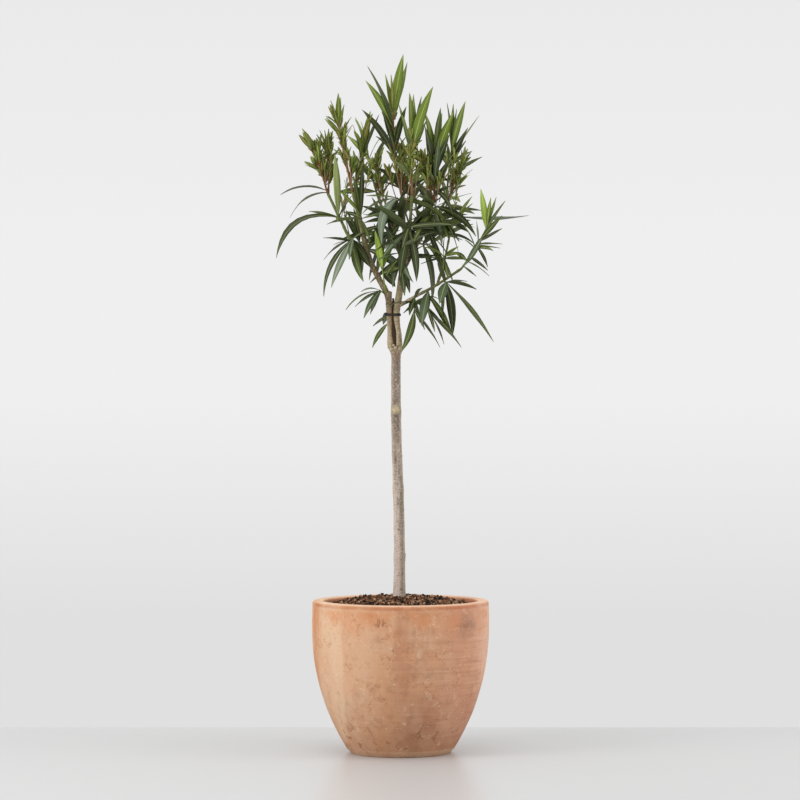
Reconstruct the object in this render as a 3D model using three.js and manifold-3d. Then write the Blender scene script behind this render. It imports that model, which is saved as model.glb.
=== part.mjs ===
// A potted oleander grown as a small standard: a bowl-shaped terracotta pot filled with soil,
// a slim bare trunk that forks into two tied boughs, finer boughs above them, and many separate
// shoots whose long narrow leaves stand in whorls of three.
// Sizes are in millimetres. +Z is up, -Y is the front, and the origin is the centre of the
// pot's flat underside.
import * as THREE from "three";
import { mergeVertices } from "three/addons/utils/BufferGeometryUtils.js";
import Module from "manifold-3d";

const wasm = await Module();
wasm.setup();

// ---- driving dimensions ----

const gap = 0.3; // clearance between pieces that meet
const pot = {
  height: 258,
  baseRadius: 87,
  bellyRadius: 150.5,
  bellyHeight: 222, // where the wall is widest
  bellyCurve: 2.25, // how late the wall turns in towards the base
  rimRadius: 149.5,
  wall: 20,
  floor: 18,
  rimRound: 6,
  footRound: 2,
  facets: 34,
  rings: 6,
};
const soil = { edgeHeight: 251, crownHeight: 263.5, crownRadius: 24 };
const trunk = {
  foot: [-2, 0, 263.9],
  top: [-7.5, 0, 687],
  sway: 1.4, // S-bend either side of the straight line
  footRadius: 9.7,
  topRadius: 7.8,
  flare: 1.6, // extra radius at the soil
  flareHeight: 16,
  knuckle: [12.4, 9.2], // half width and half depth of the swelling under the fork
  knuckleHeight: 9,
  nodes: [0.16, 0.43, 0.74], // old leaf joints, as shares of the height
  nodeSwell: 0.7,
  nodeHeight: 9,
  sides: 12,
  rings: 13,
};
const tie = { height: 743, centre: [-12.7, 0], half: [12.4, 6.7], band: 1.4, width: 4.2 };

// Each bough is one tapering limb through its points; radius is at its foot and its tip.
const boughs = [
  {
    name: "bough_left",
    points: [[-16.5, 0, 686], [-18, 0, 710], [-19, 0, 743], [-21.5, 0, 774], [-35, 1, 801], [-50, 2, 830]],
    radius: [5.6, 4.9],
  },
  {
    name: "bough_right",
    points: [[-2.5, 0, 686], [-3, 0, 710], [-6.8, 0, 743], [-1, -2, 785], [7, -4, 842]],
    radius: [6.1, 5.7],
  },
  {
    name: "bough_left_inner",
    points: [[-48, 2, 825], [-58, -3, 856], [-68.5, -11, 903], [-80, -18, 950]],
    radius: [4.8, 3.4],
  },
  {
    name: "bough_left_outer",
    points: [[-46, 4, 821], [-86, 8, 874], [-101, 4, 903], [-123, -4, 948]],
    radius: [3, 2.3],
  },
  { name: "bough_centre", points: [[8, -4, 838], [6, -2, 893], [3, 0, 945]], radius: [3.7, 2.8] },
  { name: "bough_front", points: [[9, -6, 838], [15, -20, 880], [19.5, -40, 945]], radius: [3.2, 2.4] },
  { name: "bough_right_upper", points: [[8, -3, 832], [34, 4, 888], [58, -6, 938]], radius: [2.9, 2.2] },
  { name: "bough_rear_right", points: [[4, -2, 815], [36, 34, 876], [79, 52, 941]], radius: [2.9, 2.1] },
  { name: "bough_rear_left", points: [[5, -3, 822], [-12, 34, 884], [-34, 66, 935]], radius: [2.9, 2.1] },
  {
    name: "bough_side",
    points: [[-4, 0, 757], [26, -14, 774], [60, -22, 792], [103, -28, 820]],
    radius: [3.0, 2.0],
  },
  { name: "bough_riser", points: [[62, -21, 793], [74, -6, 832], [84, 14, 879]], radius: [2.2, 1.6] },
];
const boughSides = 8;
const boughRings = 7;
const boughSlivers = [0.1, 0.05, 0.02]; // how thin a cut's leftovers are closed up, tried in turn

// A shoot's stem runs from its foot on a bough through its knee to its tip.
// whorls counts its rings of three seeded leaves and reach is where the lowest and the highest
// sit, as shares of the stem. length is how far a leaf reaches, spread its angle from the stem
// in degrees, sag how far it then droops and turn where the first whorl starts round the stem;
// each pair is for the lowest and the highest whorl.
// lead holds the leaves that shape the crown's outline: [share of the stem, tip, arch, twist].
// twigs counts the side twigs of a budding shoot, each with a tuft of small leaves.
const shoots = [
  {
    name: "shoot_top", radius: 2.6,
    foot: [3, 0, 943], knee: [-12, -3, 1000], tip: [-12.5, -4, 1092],
    whorls: 2, reach: [0.12, 0.5], length: [50, 46],
    spread: [64, 34], sag: [0.2, 0.05], turn: 60, twigs: 2,
    lead: [
      [0.9, [5, -12, 1185], 0.04, 15],
      [0.93, [12, 8, 1174], 0.03, 58],
      [0.85, [-57, 10, 1168], 0.05, 64],
      [0.78, [-60, -16, 1140], 0.1, 40],
      [0.95, [-26, -14, 1151], 0.03, 45],
      [0.97, [-16, -20, 1150], 0.02, 55],
      [0.6, [-31, -26, 1088], 0.06, 25],
      [0.5, [-66, 8, 1093], 0.1, 40],
      [0.6, [10, -14, 1096], 0.08, 20],
      [0.55, [-42, -20, 1045], 0.1, 40],
    ],
  },
  {
    name: "shoot_front", radius: 2.4,
    foot: [19.5, -40, 943], knee: [17, -46, 985], tip: [21, -50, 1034],
    whorls: 1, reach: [0.35, 0.35], length: [46, 46],
    spread: [44, 44], sag: [0.1, 0.1], turn: 100, twigs: 3,
    lead: [
      [0.8, [55, -60, 1125], 0.08, 20],
      [0.95, [15, -60, 1115], 0.03, 40],
      [0.97, [22, -46, 1114], 0.03, 45],
      [0.92, [36, -34, 1112], 0.05, 64],
      [0.75, [-3, 0, 1102], 0.04, 62],
      [0.7, [45, -30, 1072], 0.05, 58],
    ],
  },
  {
    name: "shoot_right_front", radius: 2.3,
    foot: [58, -6, 936], knee: [58, -14, 972], tip: [59, -20, 1006],
    whorls: 2, reach: [0.15, 0.4], length: [48, 48],
    spread: [56, 36], sag: [0.2, 0.1], turn: 80, twigs: 2,
    lead: [
      [0.9, [68, -26, 1093], 0.04, 35],
      [0.95, [71, -10, 1086], 0.04, 50],
      [0.85, [41, -32, 1084], 0.08, 40],
      [0.8, [90, -30, 1085], 0.08, 5],
      [0.6, [83, -36, 1047], 0.08, 35],
      [0.5, [41, -46, 1060], 0.06, 30],
      [0.45, [65, -48, 1040], 0.05, 30],
      [0.3, [84, -50, 1004], 0.1, 25],
      [0.25, [88, -40, 908], 0.3, 40],
    ],
  },
  {
    name: "shoot_right_rear", radius: 2.1,
    foot: [79, 52, 939], knee: [82, 58, 990], tip: [89, 60, 1034],
    whorls: 2, reach: [0.35, 0.6], length: [56, 54],
    spread: [56, 36], sag: [0.3, 0.1], turn: 70,
    lead: [
      [0.92, [91, 52, 1108], 0.03, 50],
      [0.85, [112, 48, 1112], 0.06, 40],
      [0.9, [80, 70, 1112], 0.04, 65],
      [0.88, [97, 60, 1100], 0.03, 62],
      [0.65, [116, 36, 1065], 0.07, 35],
      [0.72, [137, 76, 1090], 0.06, 84],
      [0.6, [113, 50, 1044], 0.08, 58],
    ],
  },
  {
    name: "shoot_right_shoulder", radius: 1.8,
    foot: [79, 50, 937], knee: [92, 42, 966], tip: [103, 34, 1000],
    turn: 0, twigs: 4,
    lead: [
      [0.9, [140, 30, 1014], 0.06, 40],
      [0.96, [120, 26, 1021], 0.05, 40],
      [0.97, [113, 38, 1023], 0.04, 35],
      [0.8, [108, 18, 981], 0.2, 40],
    ],
  },
  {
    name: "shoot_left_tall", radius: 2.5,
    foot: [-80, -18, 948], knee: [-93, -26, 1000], tip: [-106, -32, 1072],
    whorls: 1, reach: [0.8, 0.8], length: [40, 40],
    spread: [42, 42], sag: [0.1, 0.1], turn: 15, twigs: 5,
    lead: [
      [0.95, [-105, -38, 1116], 0.03, 15],
      [0.93, [-101, -28, 1110], 0.03, 45],
      [0.88, [-118, -40, 1104], 0.05, 58],
      [0.9, [-95, -26, 1098], 0.05, 50],
      [0.82, [-126, -36, 1075], 0.05, 30],
      [0.66, [-91, -20, 1066], 0.08, 20],
    ],
  },
  {
    name: "shoot_left_behind", radius: 2.1,
    foot: [-80, -16, 948], knee: [-72, -4, 985], tip: [-64, 6, 1018],
    turn: 0, twigs: 3,
    lead: [
      [0.9, [-47, 2, 1086], 0.12, 15],
      [0.94, [-64, -6, 1058], 0.03, 30],
      [0.85, [-36, 18, 1086], 0.05, 68],
      [0.8, [-81, 16, 1068], 0.05, 74],
      [0.85, [-70, -10, 1042], 0.03, 20],
    ],
  },
  {
    name: "shoot_left_outer", radius: 1.9,
    foot: [-123, -4, 946], knee: [-134, -8, 985], tip: [-144, -14, 1018],
    turn: 0, twigs: 5,
    lead: [
      [0.95, [-167, -18, 1058], 0.08, 20],
      [0.97, [-157, -8, 1050], 0.04, 50],
      [0.5, [-163, -6, 998], 0.04, 78],
      [0.1, [-204, -30, 944], 0.24, 62],
      [0.06, [-189, 14, 907], 0.32, 62],
    ],
  },
  {
    name: "shoot_left_cluster", radius: 1.8,
    foot: [-122, -4, 944], knee: [-122, 2, 985], tip: [-124, 8, 1024],
    turn: 30, twigs: 4,
    lead: [
      [0.96, [-122, 4, 1060], 0.03, 30],
      [0.97, [-115, 14, 1058], 0.03, 40],
      [0.95, [-129, -2, 1057], 0.03, 45],
      [0.9, [-138, 6, 1058], 0.05, 50],
      [0.85, [-143, 2, 1050], 0.06, 40],
    ],
  },
  {
    name: "buds_centre", radius: 1.8,
    foot: [4, 1, 943], knee: [9, 14, 980], tip: [6, 26, 1022],
    whorls: 1, reach: [0.97, 0.97], length: [30, 30],
    spread: [22, 22], sag: [0.1, 0.1], turn: 0, twigs: 5,
  },
  {
    name: "buds_right", radius: 1.7,
    foot: [57, -4, 935], knee: [46, -22, 965], tip: [40, -30, 1000],
    whorls: 1, reach: [0.97, 0.97], length: [28, 28],
    spread: [24, 24], sag: [0.1, 0.1], turn: 45, twigs: 5,
  },
  {
    name: "shoot_rear_small", radius: 1.8,
    foot: [-34, 66, 933], knee: [-38, 74, 965], tip: [-42, 80, 996],
    whorls: 1, reach: [0.97, 0.97], length: [34, 34],
    spread: [26, 26], sag: [0.1, 0.1], turn: 20, twigs: 3,
  },
  {
    name: "shoot_rear_left", radius: 2.2,
    foot: [-33, 66, 931], knee: [-52, 92, 985], tip: [-58, 104, 1036],
    whorls: 5, reach: [0.25, 0.97], length: [74, 66],
    spread: [76, 16], sag: [0.3, 0.05], turn: 85,
  },
  {
    name: "shoot_rear_mid", radius: 2.3,
    foot: [35, 33, 876], knee: [26, 80, 935], tip: [18, 104, 1008],
    whorls: 6, reach: [0.25, 0.97], length: [96, 80],
    spread: [86, 16], sag: [0.4, 0.05], turn: 0,
  },
  {
    name: "shoot_rear_right", radius: 2.1,
    foot: [60, 45, 913], knee: [84, 92, 930], tip: [92, 116, 966],
    whorls: 4, reach: [0.3, 0.97], length: [70, 62],
    spread: [80, 18], sag: [0.4, 0.05], turn: 60,
  },
  {
    name: "shoot_side_tip", radius: 1.9,
    foot: [102, -28, 819], knee: [128, -36, 852], tip: [147, -44, 892],
    whorls: 2, reach: [0.2, 0.5], length: [50, 48],
    spread: [76, 66], sag: [0.2, 0.1], turn: 20,
    lead: [
      [0.93, [135, -48, 954], 0.03, 10],
      [0.97, [152, -54, 939], 0.03, 25],
      [0.98, [162, -36, 941], 0.03, 52],
      [0.9, [177, -46, 934], 0.04, 58],
      [0.7, [171, -60, 908], 0.04, 15],
      [0.66, [172, -30, 888], 0.04, 45],
      [0.6, [172, -54, 860], 0.06, 68],
      [0.58, [169, -36, 854], 0.04, 74],
      [0.55, [147, -38, 822], 0.12, 35],
      [0.3, [147, -62, 815], 0.08, 50],
      [0.75, [106, -62, 822], -0.06, 15],
      [0.08, [128, -44, 806], 0.06, 50],
      [0.5, [108, -60, 867], 0.06, 58],
      [0.62, [129, -16, 902], 0.03, 62],
    ],
  },
  {
    name: "shoot_side_riser", radius: 1.6,
    foot: [84, 14, 877], knee: [90, 22, 897], tip: [97, 26, 916],
    whorls: 2, reach: [0.1, 0.45], length: [46, 42],
    spread: [84, 60], sag: [0.1, 0.1], turn: 95,
    lead: [
      [0.9, [220, 4, 912], -0.05, 76],
      [0.8, [123, 34, 947], 0.03, 52],
      [0.75, [123, 8, 933], 0.03, 55],
      [0.6, [113, -14, 885], 0.1, 30],
      [0.5, [116, 46, 886], 0.1, 40],
      [0.3, [90, -4, 914], 0.05, 20],
      [0.5, [103, -8, 902], 0.05, 20],
    ],
  },
  {
    name: "shoot_sucker", radius: 1.5,
    foot: [-25, -3, 780], knee: [-29, -14, 806], tip: [-31, -18, 824],
    lead: [
      [0.9, [-40, -30, 884], 0.04, 5],
      [0.75, [-45, -8, 898], 0.03, 25],
      [0.85, [-5, -36, 880], 0.05, 55],
    ],
  },
  {
    name: "spray_left_arch", radius: 1.6,
    foot: [-99, 4, 899], knee: [-104, -3, 904], tip: [-106, -9, 911],
    whorls: 1, reach: [0.8, 0.8], length: [48, 48],
    spread: [60, 60], sag: [0.1, 0.1], turn: 290,
    lead: [
      [0.95, [-111, -22, 1016], 0.03, 55],
      [0.75, [-210, -34, 836], 0.5, 42],
    ],
  },
  {
    name: "spray_left_low", radius: 1.6,
    foot: [-84, 7, 871], knee: [-84, -3, 873], tip: [-80, -13, 870],
    whorls: 1, reach: [0.7, 0.7], length: [70, 70],
    spread: [86, 86], sag: [0.6, 0.6], turn: 60,
    lead: [
      [0.8, [-126, -20, 780], 0.2, 40],
      [0.9, [-119, -46, 790], 0.06, 22],
      [0.7, [-62, -38, 797], -0.14, 10],
      [0.95, [-86, -58, 833], 0.1, 20],
    ],
  },
  {
    name: "spray_left_inner", radius: 1.7,
    foot: [-67, -10, 899], knee: [-67, -17, 905], tip: [-67, -23, 912],
    whorls: 1, reach: [0.5, 0.5], length: [72, 72],
    spread: [70, 70], sag: [0.3, 0.3], turn: 150,
    lead: [
      [0.95, [-64, -30, 997], 0.05, 50],
      [0.85, [-103, -34, 951], 0.06, 48],
      [0.7, [-80, -30, 978], 0.04, 25],
      [0.6, [-98, 8, 918], 0.1, 10],
    ],
  },
  {
    name: "spray_left_mid", radius: 1.6,
    foot: [-57, -3, 853], knee: [-66, 6, 860], tip: [-71, 14, 868],
    whorls: 2, reach: [0.6, 0.95], length: [88, 74],
    spread: [82, 40], sag: [0.3, 0.2], turn: 90,
    lead: [
      [0.8, [-97, 18, 914], 0.08, 10],
      [0.9, [-80, 26, 926], 0.05, 20],
    ],
  },
  {
    name: "spray_centre", radius: 1.7,
    foot: [3, 0, 934], knee: [-3, -10, 937], tip: [-6, -17, 941],
    whorls: 1, reach: [0.6, 0.6], length: [84, 84],
    spread: [92, 92], sag: [0.2, 0.2], turn: 75,
    lead: [
      [0.9, [-59, -16, 944], 0.06, 64],
      [0.85, [-31, -46, 858], 0.42, -8],
      [0.75, [99, -70, 833], 0.4, 76],
      [0.8, [-65, -40, 912], 0.2, 64],
    ],
  },
  {
    name: "spray_centre_mid", radius: 1.6,
    foot: [6, -2, 893], knee: [2, 8, 897], tip: [-1, 15, 902],
    whorls: 2, reach: [0.6, 0.95], length: [88, 80],
    spread: [96, 72], sag: [0.2, 0.2], turn: 10,
    lead: [
      [0.7, [-63, -24, 897], 0.16, 48],
      [0.8, [-26, -16, 853], 0.1, 10],
    ],
  },
  {
    name: "spray_front", radius: 1.6,
    foot: [15, -20, 880], knee: [14, -30, 884], tip: [14, -38, 890],
    whorls: 3, reach: [0.4, 0.95], length: [94, 80],
    spread: [100, 64], sag: [0.3, 0.2], turn: 15,
    lead: [
      [0.6, [27, -36, 797], 0.1, 15],
      [0.5, [-30, -52, 838], 0.1, 20],
    ],
  },
  {
    name: "spray_centre_low", radius: 1.7,
    foot: [4, -4, 826], knee: [-1, -16, 836], tip: [-4, -24, 848],
    whorls: 2, reach: [0.5, 0.95], length: [90, 84],
    spread: [96, 56], sag: [0.3, 0.2], turn: 50,
    lead: [
      [0.8, [18, -62, 798], -0.05, 10],
      [0.3, [9, -16, 779], 0.06, 15],
      [0.7, [-8, -30, 790], 0.08, 30],
      [0.6, [-24, -28, 808], 0.1, 15],
      [0.9, [-16, -56, 870], 0.1, 40],
    ],
  },
  {
    name: "spray_right_mid", radius: 1.7,
    foot: [49, -3, 920], knee: [56, -14, 922], tip: [60, -21, 926],
    whorls: 2, reach: [0.5, 0.9], length: [84, 76],
    spread: [100, 62], sag: [0.3, 0.2], turn: 95,
    lead: [
      [0.8, [79, -34, 874], 0.12, 10],
      [0.85, [70, -52, 857], 0.1, 25],
      [0.7, [22, -56, 864], 0.06, 15],
      [0.95, [128, -34, 873], 0.25, 35],
    ],
  },
  {
    name: "spray_right_low", radius: 1.6,
    foot: [32, 4, 884], knee: [42, 12, 884], tip: [49, 18, 888],
    whorls: 2, reach: [0.55, 0.95], length: [90, 76],
    spread: [98, 62], sag: [0.3, 0.2], turn: 35,
    lead: [
      [0.9, [76, -6, 800], 0.1, 58],
    ],
  },
  {
    name: "spray_side_riser", radius: 1.5,
    foot: [74, -6, 832], knee: [73, -13, 836], tip: [73, -19, 842],
    whorls: 2, reach: [0.6, 0.95], length: [42, 46],
    spread: [92, 60], sag: [0.1, 0], turn: 20,
    lead: [
      [0.6, [34, -24, 838], 0.08, 66],
      [0.7, [34, -2, 829], 0.06, 62],
      [0.8, [98, -34, 857], 0.08, 20],
      [0.9, [72, -30, 808], 0.05, 58],
    ],
  },
  {
    name: "spray_side_low", radius: 1.6,
    foot: [72, -24, 799], knee: [76, -32, 797], tip: [78, -38, 796],
    whorls: 1, reach: [0.5, 0.5], length: [58, 58],
    spread: [84, 84], sag: [0.4, 0.4], turn: 0,
    lead: [
      [0.8, [65, -104, 758], 0.06, 5],
      [0.7, [88, -28, 706], 0.1, 5],
      [0.95, [157, -60, 694], 0.09, 68],
      [0.9, [113, -52, 797], 0.15, 62],
    ],
  },
  {
    name: "spray_side_mid", radius: 1.5,
    foot: [47, -19, 785], knee: [47, -31, 780], tip: [46, -34, 746],
    whorls: 1, reach: [0.5, 0.5], length: [50, 50],
    spread: [84, 84], sag: [0.4, 0.4], turn: 40,
    lead: [
      [0.2, [35, -76, 722], 0.08, 5],
      [0.95, [74, -16, 691], 0.12, 74],
      [0.97, [103, -52, 685], 0.12, 66],
      [0.4, [88, -50, 704], 0.1, 45],
      [0.9, [58, -56, 712], 0.06, 40],
    ],
  },
  {
    name: "spray_fork_right", radius: 1.5,
    foot: [24, -13, 773], knee: [24, -26, 768], tip: [23, -29, 747],
    whorls: 1, reach: [0.5, 0.5], length: [56, 56],
    spread: [76, 76], sag: [0.5, 0.5], turn: 30,
    lead: [
      [0.95, [1, -34, 679], -0.12, 5],
      [0.97, [67, -40, 685], 0.12, 74],
      [0.3, [38, -50, 786], 0.35, 30],
      [0.15, [15, -54, 740], 0.08, 20],
      [0.4, [2, -44, 756], 0.1, 50],
      [0.9, [41, -44, 716], 0.08, 35],
    ],
  },
  {
    name: "spray_fork_left", radius: 1.5,
    foot: [-24, 0, 777], knee: [-31, -5, 781], tip: [-36, -10, 785],
    lead: [
      [0.8, [-93, -34, 749], 0.25, 74],
      [0.9, [-67, -44, 780], 0.2, 64],
      [0.75, [-78, 4, 756], 0.12, 55],
      [0.85, [-62, -38, 735], 0.1, 20],
      [0.7, [-52, 34, 744], 0.1, 40],
    ],
  },
  {
    name: "spray_fork_rear", radius: 1.5,
    foot: [-19.5, 2, 752], knee: [-22, 17, 750], tip: [-22, 17, 726],
    lead: [
      [0.6, [-47, 22, 724], 0.08, 15],
      [0.95, [-48, 24, 687], 0.12, 10],
      [0.8, [2, 60, 690], 0.12, 30],
      [0.5, [-30, 78, 728], 0.12, 20],
    ],
  },
  {
    name: "spray_rear_left_low", radius: 1.7,
    foot: [-12, 34, 884], knee: [-22, 46, 884], tip: [-30, 56, 886],
    whorls: 3, reach: [0.35, 0.95], length: [100, 80],
    spread: [100, 56], sag: [0.4, 0.2], turn: 10,
  },
  {
    name: "spray_rear_right_low", radius: 1.7,
    foot: [30, 28, 866], knee: [42, 44, 864], tip: [50, 56, 866],
    whorls: 3, reach: [0.35, 0.95], length: [100, 80],
    spread: [100, 56], sag: [0.4, 0.2], turn: 85,
  },
];

const leaf = {
  widthShare: 0.165, // widest part against the length
  mostWidth: 18,
  thickShare: 0.017,
  leastThick: 0.7,
  petioleHalf: 0.8,
  longFrom: 120, // a leaf at least this long gets one more cross-section
  arch: 0.1, // bow of a seeded leaf against its length
  twist: 65, // most that a seeded leaf turns about its own length, in degrees
  guard: 1.1, // room kept round a leaf when it is tried against what stands already
  slivers: [0.3, 0.27, 0.24, 0.21, 0.18, 0.15, 0.12, 0.09, 0.06, 0.03], // the same, for a shoot's leaves
  tries: 7,
  tryTurn: 15, // degrees that each further try turns the leaf
};
const budLeaf = { length: [17, 31], widthShare: 0.18, spread: [12, 38] };
const sideTwig = {
  length: [14, 26],
  spread: [20, 42],
  lift: 0.4, // how much it turns up
  half: 1.1,
  tipLeaf: [18, 30],
  sideLeaves: 2,
};
const stemTaper = 0.62; // tip radius against foot radius
const stemSides = 3;
const stemRings = 4;

// ---- shared rules ----

// A repeatable number from 0 to 1 for each set of whole-number keys.
function draw(...keys) {
  let h = 2166136261;
  for (const key of keys) {
    h = Math.imul(h ^ key, 16777619);
    h ^= h >>> 15;
  }
  h = Math.imul(h ^ (h >>> 13), 2246822507);
  h ^= h >>> 16;
  return (h >>> 0) / 4294967296;
}

const mix = (a, b, t) => a + (b - a) * t;
const radians = (degrees) => (degrees * Math.PI) / 180;
const vector = (p) => new THREE.Vector3(...p);

// A uniform Catmull-Rom line through the points.
function alongPoints(points, t) {
  const last = points.length - 1;
  const i = Math.min(Math.floor(t * last), last - 1);
  const u = t * last - i;
  const at = (k) => vector(points[Math.max(0, Math.min(last, k))]);
  const [a, b, c, d] = [at(i - 1), at(i), at(i + 1), at(i + 2)];
  const p = new THREE.Vector3();
  for (const axis of ["x", "y", "z"]) {
    p[axis] =
      0.5 *
      (2 * b[axis] +
        (c[axis] - a[axis]) * u +
        (2 * a[axis] - 5 * b[axis] + 4 * c[axis] - d[axis]) * u * u +
        (3 * b[axis] - a[axis] - 3 * c[axis] + d[axis]) * u * u * u);
  }
  return p;
}

// A shoot's stem: a quadratic curve from foot to tip, drawn to the knee.
function alongStem(shoot, t) {
  return vector(shoot.foot)
    .multiplyScalar((1 - t) * (1 - t))
    .addScaledVector(vector(shoot.knee), 2 * t * (1 - t))
    .addScaledVector(vector(shoot.tip), t * t);
}

function stemHeading(shoot, t) {
  return alongStem(shoot, Math.min(t + 0.02, 1)).sub(alongStem(shoot, Math.max(t - 0.02, 0))).normalize();
}

// A direction that leaves the heading by spread degrees, towards turn degrees round it.
function branchOff(heading, turn, spread) {
  const right = new THREE.Vector3(1, 0, 0).addScaledVector(heading, -heading.x);
  if (right.length() < 0.2) right.set(0, 1, 0).addScaledVector(heading, -heading.y);
  right.normalize();
  const back = new THREE.Vector3().crossVectors(heading, right);
  const round = right
    .multiplyScalar(Math.cos(radians(turn)))
    .addScaledVector(back, Math.sin(radians(turn)));
  return heading
    .clone()
    .multiplyScalar(Math.cos(radians(spread)))
    .addScaledVector(round, Math.sin(radians(spread)));
}

// ---- solids ----

// A closed solid from rings of points: side walls between rings and a fan or a point at each end.
function skin(rings) {
  const corners = rings.flat();
  const starts = [];
  rings.reduce((n, ring) => (starts.push(n), n + ring.length), 0);
  const faces = [];
  rings.slice(1).forEach((upper, i) => {
    const lower = rings[i];
    const [a, b] = [starts[i], starts[i + 1]];
    const n = Math.max(lower.length, upper.length);
    for (let k = 0; k < n; k++) {
      const next = (k + 1) % n;
      if (upper.length === 1) faces.push(a + k, a + next, b);
      else if (lower.length === 1) faces.push(a, b + next, b + k);
      else faces.push(a + k, a + next, b + next, a + k, b + next, b + k);
    }
  });
  const cap = (start, size, flip) => {
    for (let k = 1; k < size - 1; k++) {
      faces.push(start, start + (flip ? k + 1 : k), start + (flip ? k : k + 1));
    }
  };
  cap(0, rings[0].length, true);
  cap(starts.at(-1), rings.at(-1).length, false);
  return solidFrom(corners, faces);
}

function solidFrom(corners, faces) {
  const mesh = new wasm.Mesh({
    numProp: 3,
    vertProperties: new Float32Array(corners.flatMap((p) => [p.x, p.y, p.z])),
    triVerts: new Uint32Array(faces),
  });
  const solid = new wasm.Manifold(mesh);
  if (solid.volume() >= 0) return solid;
  const turned = [];
  for (let i = 0; i < faces.length; i += 3) turned.push(faces[i], faces[i + 2], faces[i + 1]);
  return solidFrom(corners, turned);
}

// A lathe-turned solid from [radius, height] pairs that start and end on the axis.
function turned(profile, facets) {
  const geometry = new THREE.LatheGeometry(
    profile.map(([r, z]) => new THREE.Vector2(r, z)),
    facets,
  );
  geometry.deleteAttribute("normal");
  geometry.deleteAttribute("uv");
  geometry.rotateX(Math.PI / 2);
  const merged = mergeVertices(geometry, 1e-3);
  const position = merged.attributes.position;
  const corners = Array.from({ length: position.count }, (_, i) =>
    new THREE.Vector3().fromBufferAttribute(position, i),
  );
  const faces = [];
  const index = merged.index.array;
  for (let i = 0; i < index.length; i += 3) {
    const [a, b, c] = index.slice(i, i + 3);
    if (a !== b && b !== c && a !== c) faces.push(a, b, c);
  }
  return solidFrom(corners, faces);
}

// A tube with round or oval rings: place(t) gives the middle and size(t) the radii.
function tube(place, size, rings, sides, from = 0, to = 1) {
  const made = [];
  for (let i = 0; i < rings; i++) {
    const t = mix(from, to, i / (rings - 1));
    const heading = place(Math.min(t + 0.01, to)).sub(place(Math.max(t - 0.01, from))).normalize();
    const right = new THREE.Vector3(1, 0, 0).addScaledVector(heading, -heading.x).normalize();
    const back = new THREE.Vector3().crossVectors(heading, right);
    const [wide, deep] = size(t);
    made.push(
      Array.from({ length: sides }, (_, k) => {
        const a = (2 * Math.PI * (k + 0.5)) / sides;
        return place(t)
          .addScaledVector(right, wide * Math.cos(a))
          .addScaledVector(back, deep * Math.sin(a));
      }),
    );
  }
  return skin(made);
}

// The largest body of a solid, so that no loose scrap of a cut is kept.
function largest(solid) {
  return solid.decompose().sort((a, b) => b.volume() - a.volume())[0];
}

// Closes up the slivers a join leaves, as far as no two corners of the result then coincide.
function tidied(solid, slivers) {
  for (const sliver of slivers) {
    const tidy = largest(solid.asOriginal().simplify(sliver));
    const { vertProperties } = tidy.getMesh();
    const places = new Set();
    for (let i = 0; i < vertProperties.length; i += 3) {
      places.add(Array.from(vertProperties.slice(i, i + 3), (v) => Math.round(v * 5000)).join());
    }
    if (places.size === vertProperties.length / 3) return tidy;
  }
  return largest(solid);
}

function touches(a, b) {
  const [p, q] = [a.boundingBox(), b.boundingBox()];
  for (let k = 0; k < 3; k++) {
    if (p.min[k] > q.max[k] || q.min[k] > p.max[k]) return false;
  }
  return !a.intersect(b).isEmpty();
}

// ---- pot and soil ----

function potRadius(z) {
  if (z > pot.bellyHeight) {
    return mix(pot.bellyRadius, pot.rimRadius, (z - pot.bellyHeight) / (pot.height - pot.bellyHeight));
  }
  const below = (pot.bellyHeight - z) / pot.bellyHeight;
  return pot.bellyRadius - (pot.bellyRadius - pot.baseRadius) * below ** pot.bellyCurve;
}

// The wall's line from low to high, moved inwards by inset.
function wallLine(low, high, inset, rings) {
  return Array.from({ length: rings }, (_, i) => {
    const z = mix(low, high, i / (rings - 1));
    return [potRadius(z) - inset, z];
  });
}

const innerRings = 5;

function makePot() {
  const lip = pot.rimRound;
  const shoulder = pot.height - lip;
  return turned(
    [
      [0, 0],
      [pot.baseRadius - pot.footRound, 0],
      ...wallLine(pot.footRound * 2, shoulder, 0, pot.rings),
      [pot.rimRadius - lip * 0.35, pot.height - lip * 0.3],
      [pot.rimRadius - lip, pot.height],
      [pot.rimRadius - pot.wall + lip, pot.height],
      [pot.rimRadius - pot.wall + lip * 0.35, pot.height - lip * 0.3],
      ...wallLine(pot.floor, shoulder, pot.wall, innerRings).reverse(),
      [0, pot.floor],
    ],
    pot.facets,
  );
}

// The soil fills the pot's hollow up to a low mound. Its side keeps the corners of the hollow's.
function makeSoil() {
  const shoulder = pot.height - pot.rimRound;
  const hollow = wallLine(pot.floor, shoulder, pot.wall + gap * 1.2, innerRings);
  const above = hollow.findIndex(([, z]) => z > soil.edgeHeight);
  const [[lowRadius, low], [highRadius, high]] = [hollow[above - 1], hollow[above]];
  const edgeRadius = mix(lowRadius, highRadius, (soil.edgeHeight - low) / (high - low));
  const foot = pot.floor + gap;
  return turned(
    [
      [0, foot],
      [hollow[0][0], foot],
      ...hollow.slice(1, above),
      [edgeRadius, soil.edgeHeight],
      [mix(soil.crownRadius, edgeRadius, 0.55), mix(soil.edgeHeight, soil.crownHeight, 0.66)],
      [soil.crownRadius, soil.crownHeight],
      [0, soil.crownHeight],
    ],
    pot.facets,
  );
}

// ---- trunk, boughs and tie ----

function trunkPlace(t) {
  const p = vector(trunk.foot).lerp(vector(trunk.top), t);
  p.x += trunk.sway * Math.sin(2 * Math.PI * t);
  return p;
}

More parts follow.
